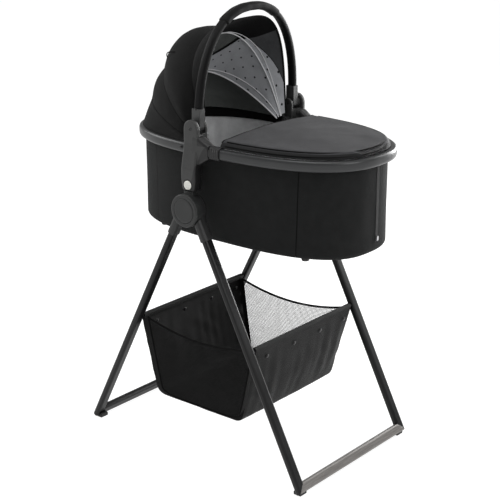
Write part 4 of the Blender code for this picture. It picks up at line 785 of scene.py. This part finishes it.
# Canopy: one continuous curved cover of black cloth over three bows. It is sewn to a piped
# channel at each bow, puffs out between them and puckers along the seams.
def drawn_in(x):
    """Share of the width that is taken in where the canopy passes inside the handle."""
    return 0.113 / (1 + math.exp(-(x + 0.045) / 0.010))


hinge_height, bow_power = 0.972, 2.35


def bow_spot(share, angle, long, wide, grow=0.0, squeeze=True, power=bow_power, setback=0.0):
    """A point over the child; share runs from the near hinge, over the top, to the far hinge."""
    across, up = round_curve(math.pi * share, power)
    reach = (long + grow) * up
    x = -reach * math.cos(angle) + 4 * setback * up * (1 - up)
    half = (wide + grow) * (1 - drawn_in(x) if squeeze else 1)
    return Vector((x + middle, -half * across, hinge_height + reach * math.sin(angle)))


bows = (
    (math.radians(18), 0.314, 0.2185),
    (math.radians(38), 0.311, 0.2120),
    (math.radians(71), 0.301, 0.2056),
    (math.radians(90.2), 0.337, 0.2138),
)


def rim_side(share, inset, height, x):
    """The point beside the rim's line at that X; share tells the near side from the far one."""
    far_share = min(abs(x - rim_middle) / (rim_half_long - inset), 1.0)
    side = (1 - far_share**rim_power) ** (1 / rim_power)
    half = math.copysign((rim_half_wide - inset) * side, math.cos(math.pi * share))
    return Vector((x + middle, -half, height))


panel_swell = (0.002, 0.007, 0.034, 0.004)
skirt_back, skirt_low = 0.345, 0.9752
lip_power, lip_setback = 0.826, -0.0062


def cover_spot(share, piece, run, grow=0.0048):
    """A point of the outer cover; piece 0 is the back skirt, 3 is the brim."""
    share = 0.045 + 0.91 * share
    loose = math.sin(math.pi * run)
    swell = panel_swell[piece] * loose
    if piece == 0:
        high = bow_spot(share, *bows[0], grow)
        across, up = round_curve(math.pi * share, bow_power)
        low = rim_side(share, -0.001, skirt_low, -skirt_back * up)
        spot = low.lerp(high, run)
        out = Vector((-up, -across, 0)).normalized()
    else:
        before, after = bows[piece - 1], bows[piece]
        angle, long, wide = (a + (b - a) * run for a, b in zip(before, after))
        brim = run if piece == 3 else 0.0
        spot = bow_spot(
            share, angle, long + swell, wide + 0.25 * swell, grow - 0.0038 * brim,
            power=bow_power + lip_power * brim, setback=lip_setback * brim,
        )
        out = (spot - Vector((middle, spot.y * 0.45, hinge_height))).normalized()
    wave = 0.0012 * noise.noise(Vector((share * 26, piece * 3 + run * 2.0, 0.3))) * loose
    wave += 0.0022 * noise.noise(Vector((share * 7, piece * 5 + run * 1.2, 4.0))) * loose
    pucker = math.exp(-run * 9) + math.exp(-(1 - run) * 9)
    uneven = abs(noise.noise(Vector((share * 12, piece, 9))))
    wave += 0.0006 * math.sin(share * 190 + piece) * pucker * uneven
    return spot + out * wave


canopy_cloth = cloth(
    "canopy_cloth", (0.0040, 0.0040, 0.0040), (0.0088, 0.0088, 0.0088), 0.80,
    long=0.95, wide=0.18, thread=0.0010, sheen=0.012,
)


def over_panel(first, second, number):
    """The two bodies that a panel joins, and where each one ends."""
    return first, second, cover_spot(0.5, number, 0.0), cover_spot(0.5, number, 1.0)


over_back = over_panel("bassinet", "canopy_rear", 0)
over_rear = over_panel("canopy_rear", "canopy_mid", 1)
over_front = over_panel("canopy_mid", "canopy_front", 2)
canopy_pieces = (
    ("canopy_back_cover", "canopy_skirt", 12, over_back, 0.125, 0.060),
    ("canopy_rear_cover", "canopy_rear_panel", 14, over_rear, 0.115, 0.064),
    ("canopy_front_cover", "canopy_front_panel", 22, over_front, 0.19, 0.104),
    ("canopy_brim_cover", "canopy_visor", 14, "canopy_front", 0.12, 0.065),
)
inside_canopy = (-0.05 + middle, 0, 0.99)
for number, (name, solid, rows, body, wide, cut) in enumerate(canopy_pieces):
    cover = shaped(
        name, 150, rows, lambda u, v, number=number: cover_spot(u, number, v), wall=0.0012,
        inside=inside_canopy,
    )
    settle(cover, canopy_cloth, body, solid)


# Canopy lining: pale grey jersey with small dots between the bows and at the brim's sides, slate
# grey further forward and black under the middle of the brim. Pale piping edges both channels,
# and a half-moon window of black mesh is bound into the crown.
inner_bows = (
    (math.radians(34.5), 0.270, 0.159, bow_power, 0.0),
    (math.radians(70.2), 0.301, 0.171, bow_power, 0.0),
    (math.radians(90.2), 0.3365, 0.189, bow_power + lip_power, lip_setback),
)
in_cover, in_brim = inner_bows[:2], inner_bows[1:]


def lining_bow(share, angle, long, wide, power=bow_power, setback=0.0):
    """A point on an inner bow, which isn't drawn in."""
    return bow_spot(share, angle, long, wide, squeeze=False, power=power, setback=setback)


def between(first, last, share, run, lift=0.0):
    """A lining that sags from its straight line between two bows; lift is towards the child."""
    angle, long, wide, power, setback = (a + (b - a) * run for a, b in zip(first, last))
    drop = 0.006 * math.sin(math.pi * run) * math.sin(math.pi * share) ** 0.5 + lift
    drop -= 0.0015 * noise.noise(Vector((share * 9, run * 2, 7))) * math.sin(math.pi * run)
    return lining_bow(share, angle, long - drop, wide - drop * 0.6, power, setback)


def cut_map(piece, spot, long):
    """Flat map in metres, so a pattern keeps its size where the cloth narrows at the hinge."""
    for loop in piece.data.uv_layers.active.data:
        share, run = loop.uv
        wide = (spot(share, 1.0) - spot(share, 0.0)).length
        loop.uv = (share * long, (run - 0.5) * wide)


dotted = cloth(
    "dotted_lining", (0.29, 0.296, 0.31), (0.42, 0.428, 0.448), 0.90,
    long=1.0, wide=1.0, thread=0.0012, height=0.0002,
)
dot_pitch, dot_share = 0.034, 0.092
flat_map = add(dotted, "TexCoord")
turned = add(dotted, "Mapping")
turned.inputs["Scale"].default_value = (1 / dot_pitch, 1 / dot_pitch, 1)
turned.inputs["Rotation"].default_value = (0, 0, math.radians(38))
join_up(dotted, flat_map.outputs["UV"], turned.inputs["Vector"])
in_rows = {"feature": "F1", "voronoi_dimensions": "2D"}
dots = add(dotted, "TexVoronoi", in_rows, Scale=1.0, Randomness=0.0)
join_up(dotted, turned.outputs["Vector"], dots.inputs["Vector"])
in_dot = sums(dotted)("LESS_THAN", dots.outputs["Distance"], dot_share)
paint_over(dotted, in_dot, (0.030, 0.030, 0.032))
slate_lining = cloth(
    "slate_lining", (0.040, 0.041, 0.043), (0.066, 0.068, 0.071), 0.90,
    long=0.9, wide=0.12, thread=0.0012, height=0.0002,
)
facing_cloth = cloth(
    "brim_facing_cloth", (0.0025, 0.0025, 0.0026), (0.006, 0.006, 0.0062), 0.92,
    long=0.5, wide=0.11, thread=0.0012, height=0.0002, sheen=0.0,
)
mesh_cloth = new_finish("knitted_mesh", (0.06, 0.062, 0.062), 0.85, Specular_IOR_Level=0.2)
hole_pitch = 0.0034
hole_map = (1 / hole_pitch, 1 / hole_pitch, 1)
holes = pattern(mesh_cloth, "Voronoi", in_rows, hole_map, "UV", Scale=1.0, Randomness=0.0)
tint(mesh_cloth, holes, (0.020, 0.022, 0.021), (0.150, 0.158, 0.152), 0.28, 0.48)
raise_up(mesh_cloth, holes, 0.0005, 0.6)
piping = new_finish("pale_piping", (0.60, 0.60, 0.61), 0.62, Sheen_Weight=0.3)
lay = pattern(piping, "Noise", Scale=900, Detail=3)
tint(piping, lay, (0.48, 0.48, 0.49), (0.72, 0.72, 0.73))
raise_up(piping, lay, 0.0003, 0.6)
over_bow = (
    "canopy_mid", "canopy_front", between(*in_cover, 0.5, 0), between(*in_cover, 0.5, 1)
)


def side_limit(share):
    """How far the dotted lining reaches beside the brim, as a share of the way to its lip."""
    off = min(max((max(share, 1 - share) - 0.69) / 0.205, 0.0), 1.0)
    return 0.12 + 0.86 * off**1.5


def full_width(bow_pair):
    """A lining from one bow to the next, nearly from hinge to hinge."""
    return lambda across_share, run: between(*bow_pair, 0.02 + 0.96 * across_share, run)


def facing_spot(across_share, run):
    """The black middle of the brim's lining, wider towards the lip."""
    half = 0.135 + 0.097 * max(run, 0.001) ** 0.35
    share = 0.5 + (2 * across_share - 1) * half
    return between(*in_brim, share, run, lift=0.0012)


def side_spot(near):
    """The dotted piece beside the brim, on the near or the far side."""

    def spot(across_share, run):
        share = 0.675 + 0.305 * across_share
        share = 1 - share if near else share
        return between(*in_brim, share, run * side_limit(share), lift=0.0012)

    return spot


def window_spot(turn_share, out):
    """The half-moon window in the crown, from its middle out to its round edge."""
    turn = math.pi * turn_share
    share, run = 0.5 - 0.15 * math.cos(turn) * out, 1 - 0.75 * math.sin(turn) * out
    return between(*in_cover, share, run, lift=0.0014)


brim = "canopy_front"
lining_pieces = (
    ("lining_dotted", full_width(in_cover), (120, 24), dotted, over_bow, (0.78, 0.20), 0.080),
    ("lining_front", full_width(in_brim), (120, 20), slate_lining, brim, (0.86, 0.14), 0.066),
    ("brim_facing", facing_spot, (60, 14), facing_cloth, brim, (0.38, 0.13), 0.036),
    ("side_lining_near", side_spot(True), (40, 16), dotted, brim, (0.24, 0.10), 0.009),
    ("side_lining_far", side_spot(False), (40, 16), dotted, brim, (0.24, 0.10), 0.009),
    ("window_mesh", window_spot, (60, 16), mesh_cloth, over_bow, (0.24, 0.13), 0.022),
)
for name, spot, count, made, body, flat, cut in lining_pieces:
    lining = shaped("canopy_" + name, *count, spot, wall=0.0008, inside=inside_canopy)
    if made is not facing_cloth:
        cut_map(lining, spot, flat[0])
    settle(lining, made, body)


def strand(bow_pair, run_at, lift):
    """Points of a piped seam that wanders between two bows."""
    return [between(*bow_pair, 0.06 + 0.925 * s, run_at(abs(s - 0.5)), lift=lift) for s in steps]


def wander(off):
    """The front seam's way forward, by the distance from the middle of the canopy."""
    return 0.03 + 0.19 * min(off / 0.26, 1.0) ** 1.5


inside_seams = (
    ("piping_back_low", strand(in_cover, lambda off: 0.0, 0.0030), 0.0023, piping, "canopy_mid"),
    (
        "piping_back_high", strand(in_cover, lambda off: 0.02 + 2.15 * off * off, 0.0018),
        0.0014, piping, over_bow,
    ),
    ("piping_front_low", strand(in_cover, lambda off: 1.0, 0.0030), 0.0021, piping, brim),
    ("piping_front_high", strand(in_brim, wander, 0.0026), 0.0013, piping, brim),
    ("facing_seam", [facing_spot(1.0, s) for s in steps], 0.0012, black_tape, brim),
    ("facing_seam_near", [facing_spot(0.0, s) for s in steps], 0.0012, black_tape, brim),
    ("side_seam_near", [side_spot(True)(s, 1.0) for s in steps[:80]], 0.0011, black_tape, brim),
    ("side_seam_far", [side_spot(False)(s, 1.0) for s in steps[:80]], 0.0011, black_tape, brim),
    ("window_binding", [window_spot(s, 1.0) for s in steps], 0.0044, black_tape, over_bow),
    (
        "brim_binding", [lining_bow(0.02 + 0.96 * s, *inner_bows[2]) for s in steps],
        0.0030, black_tape, brim,
    ),
)
for name, line, radius, made, body in inside_seams:
    welt("canopy_" + name, line, radius, made, body)
for number, body in ((0, "canopy_rear"), (1, "canopy_mid"), (2, "canopy_front")):
    line = [cover_spot(s, number, 1.0, 0.0046) for s in steps]
    welt(f"canopy_seam_{number}", line, 0.0016, black_tape, body)

# Hanging loop: a short black tape, sewn to the outside of the canopy at both of its ends. It
# stands a little proud of the cloth between them.
loop_line, off_cloth = [], Vector((-0.80, -0.25, 0.35)).normalized() * 0.012
for s in steps:
    loop_line.append(cover_spot(0.27, 2, 0.34 + 0.22 * s) + off_cloth * math.sin(math.pi * s))
welt("canopy_loop", loop_line, 0.0016, black_tape, over_front)


# Breathing panel: black warp-knitted mesh inside the back of the canopy, from the middle bow
# down to an elastic black band that lies along the inside of the rim.
rear_inner = (math.radians(4), 0.300, 0.195)


def vent_spot(share, run):
    """A point of the mesh; run goes from the rim's band up to the middle bow."""
    share = 0.03 + 0.94 * share
    fold = seam_dip(run - 0.30, 0.10, 0.004)
    fold += 0.002 * noise.noise(Vector((share * 11, run * 3, 2)))
    angle, long, wide = (a + (b - a) * run for a, b in zip(rear_inner, inner_bows[0]))
    drop = -0.010 * math.sin(math.pi * run) + fold * math.sin(math.pi * run)
    return lining_bow(share, angle, long - drop, wide - drop * 0.5)


vent = shaped("canopy_vent_mesh", 120, 20, vent_spot, wall=0.0010, inside=inside_canopy)
cut_map(vent, vent_spot, 0.75)
settle(vent, mesh_cloth, ("canopy_rear", "canopy_mid", vent_spot(0.5, 0), vent_spot(0.5, 1)))


def band_spot(share, run):
    """The elastic band, from inside the tub up past the rim to the mesh."""
    share = 0.01 + 0.98 * share
    end = abs(2 * share - 1)
    x = -0.372 * round_curve(math.pi * share, bow_power)[1] + 0.028
    low = rim_side(share, 0.0290, 0.955 - 0.012 * end**10, x)
    past_rim = rim_side(share, 0.0275, 0.984, x)
    if run < 0.8:
        return low.lerp(past_rim, run / 0.8)
    high = vent_spot(min(max((share - 0.03) / 0.94, 0.0), 1.0), 0.02)
    return past_rim.lerp(high, (run - 0.8) / 0.2)


band = shaped("canopy_elastic_band", 120, 10, band_spot, wall=0.0012, inside=inside_canopy)
settle(band, black_tape, ("bassinet", "canopy_rear", band_spot(0.5, 0), band_spot(0.5, 1)))


# Storage basket: one length of black coated polyester hung over both rods as head panel, floor
# and foot panel. Its hems are folded round the rods and closed with press studs.
basket_path = []
rod_x, rod_z, wrap = 0.2221, 0.3932, 0.0072
floor_z, floor_head_x, floor_foot_x = 0.140, -0.178, 0.164
basket_high, stud_height = 0.253, 0.362
across_fold = (
    "stand_head_frame", "stand_foot_frame",
    Vector((-rod_x + 0.010 + middle, 0, rod_z)), Vector((rod_x - 0.010 + middle, 0, rod_z)),
)


def round_rod(x, *turns):
    """The cloth's way round a rod, in degrees."""
    for turn in turns:
        turn = math.radians(turn)
        basket_path.append(Vector((x + wrap * math.cos(turn), rod_z + wrap * math.sin(turn))))


def straight_to(end):
    """Even steps from the path's last point to that end."""
    for left in range(18, 0, -1):
        basket_path.append(basket_path[-1].lerp(end, 1 / left))


round_rod(-rod_x, -50, -10, 30, 70, 110, 150, 180)
corners = [Vector(spot) for spot in (
    (-rod_x - wrap, rod_z), (floor_head_x, floor_z), (floor_foot_x, floor_z), (rod_x + wrap, rod_z)
)]
for before, corner, after in (corners[:3], corners[1:]):
    start = corner + (before - corner).normalized() * 0.030
    end = corner + (after - corner).normalized() * 0.030
    straight_to(start)
    for k in range(1, 9):
        s = k / 8
        basket_path.append(start * (1 - s) ** 2 + corner * 2 * s * (1 - s) + end * s * s)
straight_to(corners[3])
round_rod(rod_x, 30, 70, 110, 150, 190, 230)


def basket_spot(across_share, along_share):
    """A point of the hung cloth: full and pleated in both end panels, sagging in the floor."""
    last = len(basket_path) - 1
    here = round(along_share * last)
    spot = basket_path[here]
    ahead = basket_path[min(here + 1, last)] - basket_path[max(here - 1, 0)]
    out = Vector((-ahead.y, ahead.x)).normalized() * -1
    rise = min(max((spot.y - floor_z) / basket_high, 0), 1)
    half = 0.222 + 0.014 * rise
    y = (2 * across_share - 1) * half
    belly = math.sin(math.pi * across_share) ** 0.5
    hanging = math.sin(math.pi * rise) if rise > 0.02 else 0
    foot_side = spot.x > 0
    push = (0.016 if foot_side else 0.008) * hanging * belly
    pleats = noise.noise(Vector((y * 34, spot.y * 3, 2 if foot_side else 8)))
    push += 0.0055 * pleats * hanging * (0.4 + 0.6 * (1 - rise))
    slanted = Vector((y * 22 + spot.y * 30, spot.y * 14 - y * 9, 5 if foot_side else 1))
    push += 0.0030 * noise.noise(slanted) * hanging
    if rise <= 0.02:
        along = (spot.x - floor_head_x) / (floor_foot_x - floor_head_x)
        sag = math.sin(math.pi * min(max(along, 0), 1))
        push += 0.010 * sag * belly + 0.0015 * noise.noise(Vector((spot.x * 20, y * 20, 6)))
    push -= seam_dip(spot.y - stud_height, 0.0016, 0.0010) if rise > 0.5 else 0
    return Vector((spot.x + out.x * push + middle, y, spot.y + out.y * push))


basket_cloth = cloth(
    "basket_cloth", (0.009, 0.009, 0.009), (0.017, 0.017, 0.017), 0.66,
    long=0.47, wide=0.95, thread=0.0012, sheen=0.03,
)
basket = shaped(
    "basket_sling", 72, len(basket_path) - 1, basket_spot, wall=-0.0016, inside=(middle, 0, 0.33)
)
settle(basket, basket_cloth, across_fold, "basket_cloth")
for number, y in enumerate((-0.185, -0.055, 0.075, 0.200)):
    for word, x in (("head", -0.2135), ("foot", 0.2305)):
        bpy.ops.object.select_all(action="DESELECT")
        bpy.ops.mesh.primitive_uv_sphere_add(segments=18, ring_count=9, radius=0.0064)
        stud = bpy.context.object
        stud.name = f"basket_stud_{word}_{number}"
        stud.scale = (1, 1, 0.42)
        stud.rotation_euler = (0, math.radians(106), 0)
        stud.location = (x + middle, y, stud_height)
        bpy.ops.object.transform_apply(location=True, rotation=True, scale=True)
        bpy.ops.object.shade_smooth()
        settle(stud, dark_steel, across_fold)


# Basket nets: black knitted net in both open sides, bound along the top with black tape that
# sags between the rods. Its fine strands let the floor's light through.
net_low, tape_sag, rod_gap = 0.142, 0.030, 0.013


def net_spot(along, up, side):
    """A point of the net; along runs from head to foot, up from the hem to the tape."""
    low_x = -0.176 + 0.338 * along
    high_x = -rod_x + rod_gap + 2 * (rod_x - rod_gap) * along
    x = low_x + (high_x - low_x) * up + 0.012 * (1 - 2 * along) * (1 - up)
    top = rod_z - 0.0055 - tape_sag * 4 * along * (1 - along)
    corner = 0.0135 * (2 * abs(along - 0.5)) ** 8 * (1 - up) ** 4
    z = net_low + (top - net_low) * up + corner
    y = 0.218 + 0.010 * up + 0.003 * math.sin(math.pi * along) * math.sin(math.pi * up)
    return Vector((x + middle, side * y, z))


net_yarn = new_finish("net_yarn", (0.008, 0.008, 0.008), 0.85, Specular_IOR_Level=0.2)
fuzz = pattern(net_yarn, "Noise", Scale=1600, Detail=3)
tint(net_yarn, fuzz, (0.004, 0.004, 0.004), (0.014, 0.014, 0.014))
raise_up(net_yarn, fuzz, 0.0002, 0.5)
for side, word in ((-1, "near"), (1, "far")):
    net = shaped("basket_mesh_" + word, 84, 48, lambda u, v, side=side: net_spot(u, v, side))
    strands = net.modifiers.new("strands", "WIREFRAME")
    strands.thickness = 0.0022
    strands.use_even_offset = False
    bpy.ops.object.modifier_apply(modifier="strands")
    settle(net, net_yarn, across_fold, "basket_net_" + word)
    for place, line, radius in (
        ("tape", [net_spot(s, 1.0, side) for s in steps], 0.0034),
        ("edge_head", [net_spot(0.0, s, side) for s in steps], 0.0030),
        ("edge_foot", [net_spot(1.0, s, side) for s in steps], 0.0030),
        ("hem", [net_spot(s, 0.0, side) for s in steps], 0.0026),
    ):
        welt(f"basket_{place}_{word}", line, radius, black_tape, across_fold)
    for place, at, top_x, low_x in (
        ("head", 0.0, -rod_x - wrap, floor_head_x), ("foot", 1.0, rod_x + wrap, floor_foot_x),
    ):

        def strip_spot(across, up, side=side, at=at, top_x=top_x, low_x=low_x):
            """From the net's edge to the edge of the cloth, closing the corner."""
            edge = net_spot(at, up, side)
            rise = (edge.z - floor_z) / basket_high
            past_corner = min(up / 0.2, 1.0)
            panel_x = edge.x + (low_x + (top_x - low_x) * rise + middle - edge.x) * past_corner
            return edge.lerp(Vector((panel_x, side * (0.2205 + 0.0135 * rise), edge.z)), across)

        strip = shaped(
            f"basket_strip_{place}_{word}", 4, 30, strip_spot, wall=0.0010, inside=(middle, 0, 0.3)
        )
        settle(strip, basket_cloth, across_fold)


# Zip: runs down the foot end of the tub and opens the cover for washing. Its black ribbed tape
# is sewn to the cloth on both sides, and its pull is plated.
zip_tape = new_finish("zip_tape_cloth", (0.013, 0.013, 0.013), 0.75)
ribbing = pattern(zip_tape, "Wave", {"bands_direction": "Z"}, Scale=260)
tint(zip_tape, ribbing, (0.009, 0.009, 0.009), (0.022, 0.022, 0.022), 0.2, 0.8)
raise_up(zip_tape, ribbing, 0.0003, 0.6)
dress(zip_tape, "zip_tape")

# Floor and light: a pale seamless floor, four soft boxes and an even sky. The floor and the sky
# show white to the camera, the floor in reflections too, and the stand's shadow stays.
bpy.ops.object.select_all(action="DESELECT")
bpy.ops.mesh.primitive_plane_add(size=60)
floor = bpy.context.object
floor.name = "floor"
pale_floor = new_finish("pale_floor", (0.90, 0.90, 0.90), 0.9)
mottle = pattern(pale_floor, "Noise", Scale=3, Detail=3)
tint(pale_floor, mottle, (0.89, 0.89, 0.89), (0.91, 0.91, 0.91))
rays = add(pale_floor, "LightPath").outputs
ray = sums(pale_floor)
direct = ray("MAXIMUM", rays["Is Camera Ray"], rays["Is Glossy Ray"])
seen = ray("MAXIMUM", direct, rays["Is Transmission Ray"])
paint_over(pale_floor, seen, (0.32, 0.32, 0.32))
floor_shader = shader_of(pale_floor)
floor_shader.inputs["Emission Color"].default_value = (1, 1, 1, 1)
join_up(pale_floor, ray("MULTIPLY", seen, 0.86), floor_shader.inputs["Emission Strength"])
floor.data.materials.append(pale_floor)


def soft_box(name, azimuth, height, distance, size, power):
    turn = math.radians(azimuth)
    spot = Vector((math.sin(turn) * distance, -math.cos(turn) * distance, height))
    bpy.ops.object.light_add(type="AREA", location=spot)
    lamp = bpy.context.object
    lamp.name = name
    lamp.data.shape = "RECTANGLE"
    lamp.data.size, lamp.data.size_y = size
    lamp.data.energy = power
    aim = Vector((0, 0, 0.75)) - spot
    lamp.rotation_euler = aim.to_track_quat("-Z", "Y").to_euler()


soft_box("left_box", -72, 2.3, 3.0, (1.5, 1.9), 46)
soft_box("right_box", 88, 2.6, 3.2, (1.6, 1.6), 38)
soft_box("far_box", 170, 1.4, 3.0, (1.2, 1.8), 120)
soft_box("top_box", 20, 4.2, 0.6, (2.4, 2.4), 54)
world = bpy.data.worlds.new("studio")
bpy.context.scene.world = world
world.use_nodes = True
world.node_tree.nodes["Background"].inputs["Color"].default_value = (1, 1, 1, 1)
sky = sums(world)
extra = sky("MULTIPLY", add(world, "LightPath").outputs["Is Camera Ray"], 0.58)
sky_strength = world.node_tree.nodes["Background"].inputs["Strength"]
join_up(world, sky("ADD", extra, 0.42), sky_strength)
bpy.context.scene.view_settings.view_transform = "Standard"
